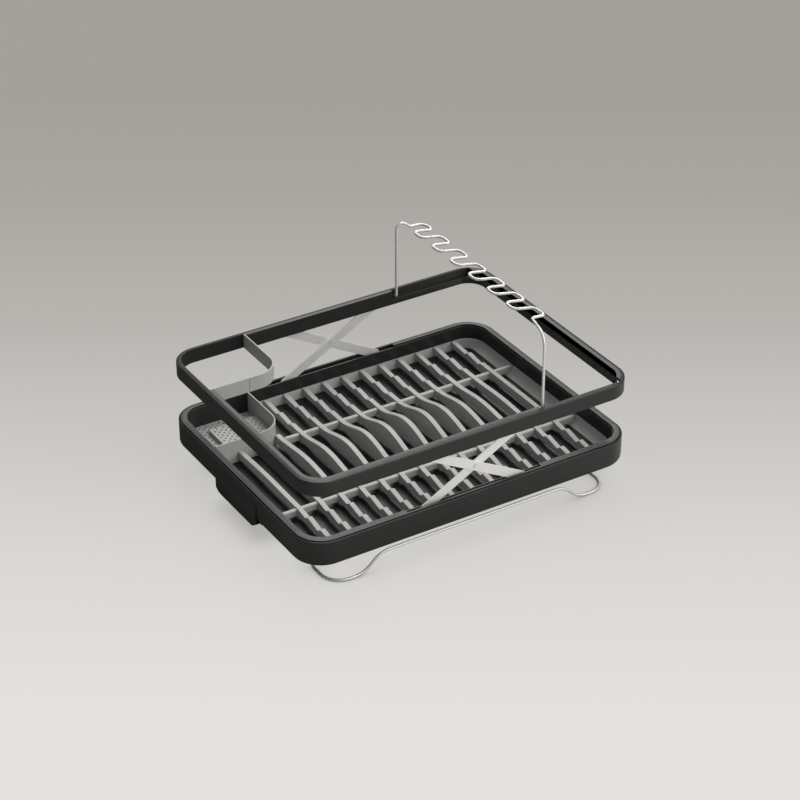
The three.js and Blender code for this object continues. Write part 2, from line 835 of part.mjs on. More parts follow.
// Plate with a brim along the tub's walls and a raised middle, open below.
function makeDrainPlate() {
  const corner = trayCorner - tubInset - seatGap;
  const limits = filletBlock(
    tubHalfLength - seatGap, tubHalfWidth - seatGap, corner, 0, tubFillet, matBottom, trayHeight,
  );
  const stepX = plateStepFromEnd - tubHalfLength;
  const stepY = tubHalfWidth - plateStepFromBack;
  const brim = prismAlongZ(cupOutline(0), plateBrimTop - plateThick, plateBrimTop);
  const middle = prismAlongZ(cupOutline(0), matBottom, plateTop).intersect(
    box(stepX, 0, 0, stepY, 0, trayHeight),
  );
  const hollow = prismAlongZ(cupOutline(plateThick), 0, plateTop - plateThick).intersect(
    box(stepX + plateThick, 0, 0, stepY - plateThick, 0, trayHeight),
  );
  let plate = brim.intersect(limits).add(middle).subtract(hollow);

  // Staggered holes, clear of the step and the edges
  const holeReach = plateHoleRadius + plateThick;
  const clearOf = (value, place) => Math.abs(value - place) > holeReach;
  const rows = Math.floor((cupWidth - 2 * plateEdge) / plateRowPitch);
  const columns = Math.floor((cupLength - 2 * plateEdge) / plateHolePitch);
  for (let row = 0; row <= rows; row++) {
    const y = cupY + plateEdge + row * plateRowPitch;
    const offset = row % 2 ? plateHolePitch / 2 : 0;
    for (let column = 0; column <= columns; column++) {
      const x = plateEdge - tubHalfLength + offset + column * plateHolePitch;
      const inCup = Math.hypot(
        Math.max(x - cupX + cupCorner, 0), Math.max(cupY + cupCorner - y, 0),
      );
      const fromCorner = Math.hypot(
        Math.max(-x - (tubHalfLength - corner), 0),
        Math.max(y - (tubHalfWidth - corner), 0),
      );
      const edgeClear = x < cupX - plateEdge && y < tubHalfWidth - plateEdge;
      const stepClear = (clearOf(x, stepX) || y > stepY) && (clearOf(y, stepY) || x < stepX);
      const roundClear = inCup < cupCorner - holeReach && fromCorner < corner - holeReach;
      if (edgeClear && stepClear && roundClear) {
        plate = plate.subtract(
          rodAlongZ(plateHoleRadius, x, y, 0, plateTop + cutOver, holeSides),
        );
      }
    }
  }
  return plate;
}

function addCutleryBand() {
  const seamX = bandSeamFromEnd - tubHalfLength;
  const backY = frameInnerY + bandSeat;
  const leftX = -frameInnerX - bandSeat;
  const half = cupWall / 2;
  const outline = cornerWall(backY, seamX + seatGap / 2, half);
  const side = prismAlongZ(outline, frameBottom, frameTop);
  const front = box(leftX, seamX - seatGap / 2, cupY - half, cupY + half, frameBottom, frameTop);
  addMesh(tray, "cutlery_band_side", side, greyPlastic);
  addMesh(tray, "cutlery_band_front", front, greyPlastic);
}

// Drain spout

function makeSpout() {
  const back = -halfLength - seatGap;
  const reach = spoutProud - seatGap;
  const lipHeight = spoutTop - spoutBottom;
  const lipSide = prismAlongY(
    [
      [back, spoutTop],
      ...lipShares.map(([out, up]) => [back - out * reach, spoutBottom + up * lipHeight]),
      [back + spoutSheet, spoutBottom],
      [back + spoutSheet, -seatGap],
      [back, 0],
    ].reverse(),
    0,
    2 * spoutHalfWidth,
  );
  const face = [[-spoutHalfWidth, spoutTop], [spoutHalfWidth, spoutTop]];
  [1, -1].forEach((side, corner) => {
    for (let i = 0; i <= cornerSteps; i++) {
      const angle = -(corner + i / cornerSteps) * (Math.PI / 2);
      face.push([
        side * (spoutHalfWidth - spoutCorner) + spoutCorner * Math.cos(angle),
        spoutBottom + spoutCorner + spoutCorner * Math.sin(angle),
      ]);
    }
  });
  const faceDepth = 2 * (spoutProud + spoutSheet + cutOver);
  const lip = lipSide.intersect(prismAlongX(face, -halfLength, faceDepth));

  // Trough that catches the water under the tray's drain hole
  const inner = troughLength - halfLength;
  const floor = -seatGap - troughDepth;
  const trough = box(back + joinOver, inner, -troughHalfWidth, troughHalfWidth, floor, -2 * seatGap);
  const hollow = box(
    back + spoutSheet, inner - spoutSheet, spoutSheet - troughHalfWidth,
    troughHalfWidth - spoutSheet, floor + spoutSheet, cutOver,
  );
  const flangeTop = floor / 2;
  const flange = box(
    back + joinOver, inner, -troughHalfWidth - troughFlange, troughHalfWidth + troughFlange,
    flangeTop - spoutSheet, flangeTop,
  );
  return lip.add(trough.add(flange).subtract(hollow));
}

// L-shaped rail under the tray that a flange of the trough slides on.
function makeSpoutRail(side) {
  const floor = -seatGap - troughDepth;
  const flangeBottom = floor / 2 - spoutSheet;
  const outY = troughHalfWidth + troughFlange + seatGap;
  const x0 = shellFillet + seatGap - halfLength;
  const x1 = troughLength - halfLength;
  const web = box(
    x0, x1, side * outY, side * (outY + railSheet), flangeBottom - seatGap - railSheet, -seatGap,
  );
  const shelf = box(
    x0, x1, side * (troughHalfWidth + seatGap), side * (outY + joinOver),
    flangeBottom - seatGap - railSheet, flangeBottom - seatGap,
  );
  return web.add(shelf);
}

// Glass holder

// Route of the holder's wire from its back pivot, over the loops, to its front pivot.
function holderRoute() {
  const bend = [holderBendRadius, filletSteps];
  const turn = [loopTurnRadius, filletSteps];
  const wide = [loopWideRadius, filletSteps];
  const near = holderPlace + loopNear;
  const far = holderPlace + loopFar;
  const pinY = pocketWallY + frameInnerWall + seatGap;
  const route = [
    [holderPlace, pinY, holderPivotHeight],
    [holderPlace, holderLegY, holderPivotHeight, holderRadius + seatGap, filletSteps],
    [holderPlace, holderLegY, holderPeak, ...bend],
    [near + loopNear, holderLegY - 2 * holderRadius - holderClear, holderWireTop, ...bend],
    [far, loopFirst + loopSide, holderWireTop, ...wide],
  ];
  for (let i = 0; i < loopCount; i++) {
    const tip = loopFirst - i * loopPitch;
    route.push([far, tip, holderWireTop, loopTipRadius, filletSteps]);
    if (i + 1 < loopCount) {
      route.push([near, tip + loopTilt, holderWireTop, ...turn]);
      route.push([near, tip + loopTilt - loopSide, holderWireTop, ...wide]);
      route.push([far, tip - loopSide, holderWireTop, ...wide]);
    } else {
      route.push([near + loopEndIn, tip + loopTilt / 3, holderWireTop, ...turn]);
    }
  }
  const frontTop = (holderWireTop + holderPeak) / 2;
  route.push([holderPlace, -holderLegY, frontTop, holderFrontRadius, frontBendSteps]);
  route.push([holderPlace, -holderLegY, holderPivotHeight, holderRadius + seatGap, filletSteps]);
  route.push([holderPlace, -pinY, holderPivotHeight]);
  return route;
}

// Foot wires

// Half of a foot wire's route on the +X side, from the socket to the middle.
function footHalf() {
  const low = footRadius - footFlat - trayRise;
  const bar = footBarHeight - trayRise;
  const endX = halfLength - footEndInset;
  const lineY = halfWidth - footInset;
  return [
    [endX, lineY - footReturn, -2 * seatGap],
    [endX, lineY - footReturn, low, footEndBend, filletSteps],
    [endX, lineY, low, footCorner, cornerSteps],
    [footBarHalf + footSlope, lineY, low, footBend, filletSteps],
    [footBarHalf, lineY, bar, footBend, filletSteps],
  ];
}

function footSolid(side) {
  const right = footHalf();
  const left = right.map(([x, ...rest]) => [-x, ...rest]).reverse();
  const route = [...right, ...left].map(([x, y, ...rest]) => [x, side * y, ...rest]);
  const below = box(
    -halfLength, halfLength, -halfWidth, halfWidth, -trayRise - cutOver, -trayRise,
  );
  return solid(wire(route, footRadius)).subtract(below);
}

// Assembly

addMesh(tray, "tray_outer_shell", makeOuterShell(), blackPlastic);
addMesh(tray, "tray_inner_tub", makeInnerTub(), blackPlastic);
addMesh(tray, "drain_spout", makeSpout(), blackPlastic);
addMesh(tray, "spout_rail_front", makeSpoutRail(-1), blackPlastic);
addMesh(tray, "spout_rail_back", makeSpoutRail(1), blackPlastic);
addMesh(tray, "upper_frame", makeUpperFrame(), blackPlastic);
addMesh(tray, "mat_frame", makeMatFrame(), greyPlastic);
addFins();
addMesh(tray, "cutlery_cup_wall", makeCupWall(), greyPlastic);
addMesh(tray, "cutlery_drain_plate", makeDrainPlate(), greyPlastic);
addCutleryBand();
addLinks(-1, "front");
addLinks(1, "back");
addMesh(tray, "glass_holder_wire", wire(holderRoute(), holderRadius), steel);
addMesh(tray, "foot_wire_front", footSolid(-1), steel);
addMesh(tray, "foot_wire_back", footSolid(1), steel);

// The spout's lip stands proud on one side only, so the rack is set over by half of that
rack.position.x = spoutProud / 2;

export default rack;
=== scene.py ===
import math

import bmesh
import bpy
from bmesh.types import BMEdge, BMFace, BMVert
from bpy.props import FloatProperty, FloatVectorProperty, IntProperty, PointerProperty
from mathutils import Matrix, Vector


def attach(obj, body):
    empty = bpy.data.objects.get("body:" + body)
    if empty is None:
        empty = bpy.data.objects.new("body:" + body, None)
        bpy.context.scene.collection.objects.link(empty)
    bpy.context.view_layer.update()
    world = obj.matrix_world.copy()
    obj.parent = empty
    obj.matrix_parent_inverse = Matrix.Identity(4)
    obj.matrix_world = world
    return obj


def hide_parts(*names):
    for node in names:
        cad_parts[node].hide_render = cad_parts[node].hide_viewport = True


bl_info = {
    "name": "Countertop dish rack",
    "version": (1, 0, 0),
    "blender": (4, 5, 0),
    "location": "3D View > Sidebar > Dish Rack",
    "description": "Dresses the dish rack's frame with its finished pieces and a plain studio",
    "category": "Object",
}

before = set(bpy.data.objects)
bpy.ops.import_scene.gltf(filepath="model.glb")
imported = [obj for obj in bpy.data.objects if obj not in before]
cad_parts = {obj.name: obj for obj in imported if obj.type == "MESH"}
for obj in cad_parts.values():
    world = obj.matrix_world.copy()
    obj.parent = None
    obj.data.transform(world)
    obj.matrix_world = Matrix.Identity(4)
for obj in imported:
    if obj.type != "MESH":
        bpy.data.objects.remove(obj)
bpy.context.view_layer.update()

# Sizes in millimetres, with the tray's middle at the origin and its underside at height 0
TO_PART = Matrix.Translation((0.0019, 0.0, 0.037)) @ Matrix.Scale(0.001, 4)
SMALL_GAP, PIN_GAP = 0.3, 0.15
# How far cutters reach past a face, how far joined blocks overlap, and when places count as one
OVER, JOIN, TOUCH, WELD = 4.0, 0.5, 0.01, 0.002
CORNER_STEPS, HUMP_STEPS, SLOPE_STEPS = 16, 32, 6
# Edges that turn by more degrees than this are rounded, or kept sharp where nothing is rounded
FLAT_ANGLE = 35.0

TRAY_OUTLINE = HALF_LENGTH, HALF_WIDTH, TRAY_CORNER = 266.0, 204.0, 44.0
TRAY_TOP, LEDGE_TOP, SHELL_TOP, TRAY_RISE = 42.4, 39.4, 40.2, 37.0
SHELL_WALL, SHELL_FLOOR, SHELL_FILLET, SHELL_SLOPE = 2.0, 1.8, 8.0, 0.7
RIM_INSET, RIM_WEB, RIM_BOTTOM, RIM_CROWN, RIM_CROWN_WIDTH = 3.0, 2.0, 38.4, 1.0, 7.6
LEDGE_INSET, TUB_INSET, TUB_WALL, TUB_FILLET = 12.0, 13.5, 2.1, 4.0
TUB_UNDER, TUB_FLOOR = 2.1, 3.9
TUB_HALF_X, TUB_HALF_Y = HALF_LENGTH - TUB_INSET, HALF_WIDTH - TUB_INSET
TUB_CORNER = TRAY_CORNER - TUB_INSET
DRAIN_X, DRAIN_RADIUS = -238.0, 7.0
SOCKET_X, SOCKET_Y, SOCKET_RADIUS, SOCKET_DEPTH = 228.0, 142.0, 6.0, 12.0

FRAME_HALF_X, FRAME_HALF_Y, FRAME_CORNER = 264.0, 203.0, 40.0
FRAME_BOTTOM, FRAME_TOP = 113.5, 136.3
FRAME_RAIL, THIN_RAIL = 12.0, 7.0
FRAME_WALL, FRAME_INNER_WALL, FRAME_WEB = 1.8, 1.6, 2.2
# The frame's outer edge and crowned top: how far in and how far down each line lies
FRAME_CROWN = (
    (0.0, 2.6), (0.12, 2.1), (0.45, 1.65), (1.0, 1.3), (1.6, 1.05), (5.6, 0.1), (6.3, 0.0),
)
POCKET_START, POCKET_END, POCKET_FLOOR = 106.0, 243.6, 123.2

STRIP_WIDTH, STRIP_THICK = 14.0, 1.6
INNER_STRIP, OUTER_STRIP = 193.2, 195.4
SPREAD, LOW_PIVOT, HIGH_PIVOT, SLIDE_END = 79.0, 35.2, 121.2, 100.28
PIN_RADIUS, PIN_HEAD_RADIUS, PIN_HEAD, PIN_END = 2.0, 3.0, 0.4, 199.9
BORE, RIVET_HOLE, RIVET_HEAD_RADIUS = PIN_RADIUS + PIN_GAP, 2.75, 2.3
HEAD_ROUNDING_SHARE = 0.6
GUIDE_Y, GUIDE_THICK, GUIDE_BAND, LINK_WALL, SLOT_HALF = 198.0, 1.6, 8.0, 191.5, 108.8

MAT_BOTTOM, MAT_TOP = 4.2, 18.7
MAT_FOOT, MAT_SIDE_FOOT, MAT_SIDE_TOP, MAT_END_FOOT, MAT_END_TOP = 6.3, 4.2, 2.4, 14.0, 1.0
FIN_COUNT, FIN_PITCH, FIN_WIDTH, FIN_BOTTOM, FIN_TOP = 14, 32.8, 7.7, 9.5, 21.2
BAR_PLACE, BAR_WIDTH, BAR_TOP, BAR_ROUNDING = 83.0, 6.5, 19.2, 1.8
HUMP_RISE, HUMP_CENTRE, HUMP_LEFT, HUMP_RIGHT, HUMP_PEAK = 18.0, 15.0, 285.0, 220.0, 6.0
MAT_CURVE_SHARE = 0.4
# The notches in a fin's ends: the share of the stretch from bar to end, and the drop from the top
BACK_NOTCHES = (
    (0.0, 1.3), (0.36, 4.0), (0.38, 3.8), (0.43, 0.2), (0.45, 0.0), (0.67, 2.6), (0.71, 3.2),
    (0.74, 2.8), (0.78, 0.3), (0.8, 0.0),
)
FRONT_NOTCHES = (
    (0.0, 0.0), (0.18, 2.8), (0.21, 3.2), (0.26, -0.8), (0.29, -1.0), (0.51, 3.8), (0.55, 4.2),
    (0.6, -0.8), (0.63, -1.0), (0.96, 3.7), (1.0, 4.0),
)

CUP_X, CUP_Y, CUP_CORNER, CUP_WALL, CUP_TOP = -142.5, 84.0, 35.0, 2.2, 41.2
PLATE_TOP, PLATE_BRIM, PLATE_THICK, PLATE_EDGE = 15.4, 8.2, 1.2, 5.0
STEP_X, STEP_Y, STEP_ROUNDING, HOLE_ROW_SHARE = -221.7, 165.4, 1.2, 0.46
BAND_BACK, BAND_LEFT, SEAM_X = 195.7, -256.7, -195.0

LIP_HALF, LIP_TOP, LIP_BOTTOM, LIP_REACH, LIP_CORNER = 61.0, 27.2, -11.8, 3.5, 20.0
LIP_DEPTH, LIP_END_ROUNDING, LIP_GAP = 12.0, 9.0, 0.05
# The lip's outer face from top to bottom, as shares of its reach and of its height
LIP_CURVE_SHARES = (
    (0.0, 1.0), (0.1, 0.97), (0.26, 0.93), (0.5, 0.86), (0.75, 0.77), (0.93, 0.67), (1.0, 0.57),
    (0.97, 0.48), (0.86, 0.36), (0.77, 0.25), (0.7, 0.13), (0.6, 0.04), (0.45, 0.0),
)
TROUGH_LENGTH, TROUGH_HALF, TROUGH_FLOOR, TROUGH_SHEET, TROUGH_FLANGE = 100.0, 52.0, -8.3, 2.0, 4.0

HOLDER_X, HOLDER_PIVOT, HOLDER_LEG_Y, HOLDER_PIN_Y = 113.0, 126.2, 191.3, 197.9
HOLDER_TOP, HOLDER_PEAK = 240.2, 251.5
HOLDER_APEX_RISE, HOLDER_LEAD_PAST, HOLDER_LEAD_IN = 4.4, 5.5, 6.0
HOLDER_END_BEND, HOLDER_APEX_BEND, HOLDER_LEAD_BEND, HOLDER_FRONT_BEND = 2.3, 9.0, 5.0, 20.0
LOOP_COUNT, LOOP_PITCH, LOOP_NEAR, LOOP_FAR, LOOP_FIRST = 7, 49.2, 127.5, 155.5, 158.5
LOOP_TILT, LOOP_SIDE, LOOP_LEAN, LOOP_END = 10.0, 23.5, 0.8, 8.0
LOOP_LEAD_BEND, LOOP_TIP_BEND, LOOP_TURN_BEND, LOOP_WIDE_BEND = 14.0, 4.5, 6.0, 12.0

FOOT_LOW, FOOT_BAR, FOOT_LINE = 1.7 - TRAY_RISE, 27.5 - TRAY_RISE, 196.0
FOOT_FLAT_END, FOOT_BAR_END = 178.0, 150.0
FOOT_END_BEND, FOOT_CORNER, FOOT_BEND = 8.0, 29.0, 36.0

# Edge roundings in metres, as the bevel modifier takes them
STRIP_ROUNDING, LIP_ROUNDING = 0.0002, 0.0006

# Each finish is a slot and a material. The wires are a little darker than the strips
BLACK, GREY = ("black_plastic", "rack_black"), ("grey_plastic", "rack_grey")
WIRE = ("bright_steel", "rack_wire")
WIRE_TONE = 0.9

# The stage in metres, with the lens and the sensor in millimetres
# The last of these is how far from the rack the floor's painted contact shadow reaches
FLOOR_HALF, FLOOR_DROP, FLOOR_PAINTED_SHADOW_REACH = 14.0, 0.0002, 0.035
FLOOR_AWAY, FLOOR_LEFTWARD = (0.5254, 0.8509, 0.0), (-0.9, 1.2, 0.0)
FLOOR_START, FLOOR_RATE = 0.55, 0.55
# The floor as lights and reflections meet it: a painted shade, a dimmer copy of its colours in view
# that darkens towards the left and back
BOUNCE_MIDDLE, BOUNCE_NEAR_SHARE, BOUNCE_FAR_SHARE = 0.5, 0.95, 0.45
CAMERA_PLACE, CAMERA_AIM = (-1.5204, -2.4676, 1.8967), (0.0709, 0.1096, 0.0382)
CAMERA_LENS, CAMERA_SENSOR = 107.7, 36.0
# How the floor's colour runs from near to far, and how much of it the camera sees as glow, which
# carries a painted contact shadow near the rack
FLOOR_STOPS = ((0.0, 0.0), (0.18, 0.17), (0.35, 0.43), (0.54, 0.73), (0.78, 0.92), (1.0, 1.0))
FLOOR_GLOW = 0.88

# What the colours among the settings share
COLOUR = {"subtype": "COLOR", "size": 3, "min": 0.0, "max": 1.0}


class RackSettings(bpy.types.PropertyGroup):
    """Sizes, colours and light that a user may change."""

    edge_rounding: FloatProperty(
        name="Edge rounding", description="Radius of the moulded edges",
        default=0.0005, min=0.0, soft_max=0.001, unit="LENGTH",
    )
    fin_rounding: FloatProperty(
        name="Fin rounding", description="Radius along the tops of the mat's fins, in millimetres",
        default=0.7, min=0.1, max=3.0,
    )
    wire_radius: FloatProperty(
        name="Wire radius", description="Radius of the holder's and feet's wire, in millimetres",
        default=2.0, min=1.0, max=2.0,
    )
    hole_radius: FloatProperty(
        name="Drain hole radius", description="Radius of the cutlery plate's holes, in millimetres",
        default=1.5, min=0.5, max=2.5,
    )
    hole_pitch: FloatProperty(
        name="Drain hole pitch", description="Distance between the plate's holes, in millimetres",
        default=10.4, min=6.0, max=20.0,
    )
    hole_sides: IntProperty(
        name="Drain hole sides", description="Facets round each hole", default=12, min=6, max=32,
    )
    black_colour: FloatVectorProperty(
        name="Black plastic", description="Colour of the tray, spout and frame",
        **COLOUR, default=(0.018, 0.018, 0.018),
    )
    grey_colour: FloatVectorProperty(
        name="Grey plastic", description="Colour of the mat and the cutlery corner",
        **COLOUR, default=(0.465, 0.468, 0.46),
    )
    steel_colour: FloatVectorProperty(
        name="Steel", description="Colour of the wires, links and pins",
        **COLOUR, default=(0.95, 0.947, 0.94),
    )
    floor_near: FloatVectorProperty(
        name="Floor, near", description="Colour of the floor in front",
        **COLOUR, default=(0.775, 0.765, 0.74),
    )
    floor_far: FloatVectorProperty(
        name="Floor, far", description="Colour of the floor behind",
        **COLOUR, default=(0.375, 0.36, 0.335),
    )
    # Painted shadow: the floor's glow darkens to this colour where ambient occlusion finds the rack
    # close by
    floor_painted_shadow: FloatVectorProperty(
        name="Floor, shaded", description="Colour of the floor where the rack stands on it",
        **COLOUR, default=(0.1, 0.098, 0.094),
    )
    key_strength: FloatProperty(
        name="Key light", description="Strength of the wide light from the front and above",
        default=1.9, min=0.0, max=10.0,
    )
    top_strength: FloatProperty(
        name="Top light", description="Strength of the light from high behind",
        default=1.0, min=0.0, max=10.0,
    )
    back_strength: FloatProperty(
        name="Back light", description="Strength of the light from behind that gives the sheen",
        default=0.7, min=0.0, max=10.0,
    )
    sky_strength: FloatProperty(
        name="Sky", description="Strength of the even light all round", default=0.22, min=0.0, max=2.0,
    )


# Shader expressions

class Flow:
    """A shader socket that takes part in Python sums."""

    def __init__(self, finish, socket):
        self.finish = finish
        self.socket = socket

    def _math(self, operation, left, right):
        return self.finish.node("ShaderNodeMath", {"operation": operation}, {0: left, 1: right})

    def __add__(self, other):
        return self._math("ADD", self, other)

    __radd__ = __add__

    def __sub__(self, other):
        return self._math("SUBTRACT", self, other)

    def __rsub__(self, other):
        return self._math("SUBTRACT", other, self)

    def __mul__(self, other):
        return self._math("MULTIPLY", self, other)

    __rmul__ = __mul__


def socket_of(sockets, key):
    """One of a node's sockets, by its number, identifier or name."""
    if isinstance(key, int):
        return sockets[key]
    return next(socket for socket in sockets if key in (socket.identifier, socket.name))


class Finish:
    """A material under construction."""

    def __init__(self, name):
        self.material = bpy.data.materials.new(name)
        self.material.use_nodes = True
        self.tree = self.material.node_tree
        self.tree.nodes.clear()
        self.output = self.tree.nodes.new("ShaderNodeOutputMaterial")

    def node(self, kind, settings, values, out=0):
        """One node: its settings first, then the values or links of its sockets. Returns one output."""
        made = self.tree.nodes.new(kind)
        for key, value in settings.items():
            if key == "stops":
                ramp = made.color_ramp.elements
                for place, colour in value[2:]:
                    ramp.new(place)
                for element, (place, colour) in zip(ramp, sorted(value, key=lambda stop: stop[0])):
                    element.position = place
                    element.color = (*colour, 1.0)
            else:
                setattr(made, key, value)
        for key, value in values.items():
            socket = socket_of(made.inputs, key)
            if isinstance(value, Flow):
                self.tree.links.new(value.socket, socket)
            else:
                socket.default_value = value
        return Flow(self, socket_of(made.outputs, out))

    def where(self):
        """The place on the object."""
        return self.node("ShaderNodeTexCoord", {}, {}, "Object")

    def along(self, direction):
        """How far the place lies along a direction."""
        return self.node(
            "ShaderNodeVectorMath", {"operation": "DOT_PRODUCT"}, {0: self.where(), 1: direction},
            "Value",
        )

    def noise(self, scale, detail, roughness=0.5, stretch=(1.0, 1.0, 1.0), turn=(0.0, 0.0, 0.0)):
        """Noise from 0 to 1 over the object, stretched and turned."""
        place = self.node(
            "ShaderNodeMapping", {}, {"Vector": self.where(), "Scale": stretch, "Rotation": turn},
        )
        return self.node(
            "ShaderNodeTexNoise", {},
            {"Vector": place, "Scale": scale, "Detail": detail, "Roughness": roughness},
        )

    def mix(self, factor, first, second):
        """A colour between two colours."""
        return self.node(
            "ShaderNodeMix", {"data_type": "RGBA"},
            {"Factor_Float": factor, "A_Color": rgba(first), "B_Color": rgba(second)},
            "Result_Color",
        )

    def surface(self, values):
        """Ends the material in a Principled surface."""
        made = self.node("ShaderNodeBsdfPrincipled", {}, values)
        self.tree.links.new(made.socket, self.output.inputs["Surface"])
        return self.material


def rgba(colour):
    """A colour with full alpha, or a socket as it is."""
    return colour if isinstance(colour, Flow) else (*colour[:3], 1.0)


def scaled(colour, share):
    """A colour times a number."""
    return tuple(min(channel * share, 1.0) for channel in colour)


def between(first, second, share):
    """The colour that lies a share of the way from one colour to another."""
    return tuple(a + (b - a) * share for a, b in zip(first, second))


def moulded_plastic(name, colour, roughness, shine, dust):
    """Satin moulded plastic with a fine eroded grain, faint flow marks and a trace of dust."""
    look = Finish(name)
    grain = look.noise(scale=1500.0, detail=3.0, roughness=0.6)
    mottle = look.noise(scale=38.0, detail=4.0, roughness=0.55)
    flow = look.noise(scale=9.0, detail=3.0, stretch=(1.0, 1.0, 4.0))
    speck = (look.noise(scale=620.0, detail=1.0) - 0.66) * 9.0
    toned = look.mix(mottle, scaled(colour, 0.93), scaled(colour, 1.07))
    bump = look.node(
        "ShaderNodeBump", {}, {"Strength": 0.12, "Distance": 0.00025, "Height": grain + flow * 0.4},
    )
    return look.surface({
        "Base Color": look.mix(speck * dust, toned, scaled(colour, 1.6)),
        "Roughness": (mottle - 0.5) * 0.16 + (flow - 0.5) * 0.08 + roughness,
        "Specular IOR Level": shine,
        "Normal": bump,
    })


def drawn_steel(name, colour, metallic, roughness, stretch, turn=(0.0, 0.0, 0.0)):
    """Bright satin steel with fine lines along its drawn or rolled length."""
    look = Finish(name)
    lines = look.noise(scale=900.0, detail=3.0, roughness=0.6, stretch=stretch, turn=turn)
    smear = look.noise(scale=60.0, detail=3.0)
    bump = look.node(
        "ShaderNodeBump", {}, {"Strength": 0.08, "Distance": 0.0002, "Height": lines},
    )
    return look.surface({
        "Base Color": look.mix(smear, scaled(colour, 0.95), scaled(colour, 1.04)),
        "Metallic": metallic,
        "Roughness": (lines - 0.5) * 0.14 + (smear - 0.5) * 0.08 + roughness,
        "Normal": bump,
    })


def finishes(settings):
    """The object's materials, made once."""
    if "rack_black" not in bpy.data.materials:
        moulded_plastic("rack_black", settings.black_colour, roughness=0.38, shine=0.42, dust=0.5)
        moulded_plastic("rack_grey", settings.grey_colour, roughness=0.5, shine=0.5, dust=0.15)
        drawn_steel(
            "rack_wire", scaled(settings.steel_colour, WIRE_TONE), metallic=0.5, roughness=0.42,
            stretch=(1.0, 1.0, 1.0),
        )
        lean = math.atan2(HIGH_PIVOT - LOW_PIVOT, 2 * SPREAD)
        for side, turn in (("rising", lean), ("falling", -lean)):
            drawn_steel(
                f"rack_strip_{side}", settings.steel_colour, metallic=0.45, roughness=0.4,
                stretch=(0.03, 1.0, 1.0), turn=(0.0, turn, 0.0),
            )
    return bpy.data.materials


# Mesh helpers, all in millimetres

def of_kind(geom, kind):
    """The mesh parts of one kind."""
    return [part for part in geom if isinstance(part, kind)]


def moved(bm, verts, offset):
    """Moves vertices."""
    bmesh.ops.translate(bm, vec=offset, verts=verts)
    return verts


def add_box(bm, x0, x1, y0, y1, z0, z1):
    """A box between two corners."""
    verts = bmesh.ops.create_cube(bm, size=1.0)["verts"]
    bmesh.ops.scale(bm, vec=(abs(x1 - x0), abs(y1 - y0), abs(z1 - z0)), verts=verts)
    return moved(bm, verts, ((x0 + x1) / 2, (y0 + y1) / 2, (z0 + z1) / 2))


def add_rod(bm, radius, start, end, sides=32):
    """A round rod between two points."""
    start, end = Vector(start), Vector(end)
    verts = bmesh.ops.create_cone(
        bm, cap_ends=True, radius1=radius, radius2=radius, depth=(end - start).length, segments=sides,
    )["verts"]
    turn = Vector((0, 0, 1)).rotation_difference(end - start).to_matrix()
    bmesh.ops.rotate(bm, cent=(0, 0, 0), matrix=turn, verts=verts)
    return moved(bm, verts, (start + end) / 2)


def round_off(bm, geom, radius, segments, affect="EDGES"):
    """Rounds edges, or the corners of a face."""
    return bmesh.ops.bevel(
        bm, geom=geom, offset=radius, offset_type="OFFSET", segments=segments, profile=0.5,
        affect=affect, material=-1, clamp_overlap=False,
    )


def add_rounded_face(bm, half_x, half_y, radius, z):
    """One flat face: a rectangle with round corners."""
    verts = bmesh.ops.create_grid(bm, x_segments=1, y_segments=1, size=1.0)["verts"]
    bmesh.ops.scale(bm, vec=(half_x, half_y, 1.0), verts=verts)
    moved(bm, verts, (0.0, 0.0, z))
    made = round_off(bm, verts, radius, CORNER_STEPS, "VERTICES")
    return made["verts"][0].link_faces[0]


def raise_face(bm, face, offset):
    """Extrudes a face into a closed block, and returns the face at its far end."""
    made = bmesh.ops.extrude_face_region(bm, geom=[face])["geom"]
    moved(bm, of_kind(made, BMVert), offset)
    return of_kind(made, BMFace)[0]


def add_rounded_block(bm, half_x, half_y, radius, z0, z1, fillet=0.0):
    """A block with round corners in plan, and a round bottom edge if it has a fillet."""
    face = add_rounded_face(bm, half_x, half_y, radius, z0)
    raise_face(bm, face, (0.0, 0.0, z1 - z0))
    if fillet:
        round_off(bm, list(face.edges), fillet, 6)


def add_lofted_block(bm, sections):
    """A closed block through rounded rectangles, each (half length, half width, radius, height)."""
    faces = [add_rounded_face(bm, *section) for section in sections]
    rings = [list(face.edges) for face in faces]
    bmesh.ops.delete(bm, geom=faces[1:-1], context="FACES_ONLY")
    for below, above in zip(rings, rings[1:]):
        bmesh.ops.bridge_loops(bm, edges=below + above)


def lofted_block(outline, levels):
    """A new block through an outline, set in by each level's inset at its height."""
    bm = bmesh.new()
    add_lofted_block(bm, [(*[size - inset for size in outline], z) for inset, z in levels])
    return bm


def inset_block(half_x, half_y, radius, inset, z0, z1, fillet=0.0):
    """A new block set in from an outline."""
    bm = bmesh.new()
    add_rounded_block(bm, half_x - inset, half_y - inset, radius - inset, z0, z1, fillet)
    return bm


def add_outline(bm, points, offset):
    """A closed block from an outline of points, extruded by an offset."""
    face = bm.faces.new([bm.verts.new(p) for p in points])
    return face, raise_face(bm, face, offset)


def boxes(*corners):
    """A new mesh of boxes."""
    bm = bmesh.new()
    for corner in corners:
        add_box(bm, *corner)
    return bm


def rods(*ends):
    """A new mesh of rods, each (radius, start, end)."""
    bm = bmesh.new()
    for rod in ends:
        add_rod(bm, *rod)
    return bm


def linked(name, data):
    """A new object in the scene."""
    made = bpy.data.objects.new(name, data)
    bpy.context.collection.objects.link(made)
    return made


def as_object(bm, name):
    """A linked object of a bmesh, which is freed."""
    bmesh.ops.recalc_face_normals(bm, faces=bm.faces)
    mesh = bpy.data.meshes.new(name)
    bm.to_mesh(mesh)
    bm.free()
    return linked(name, mesh)


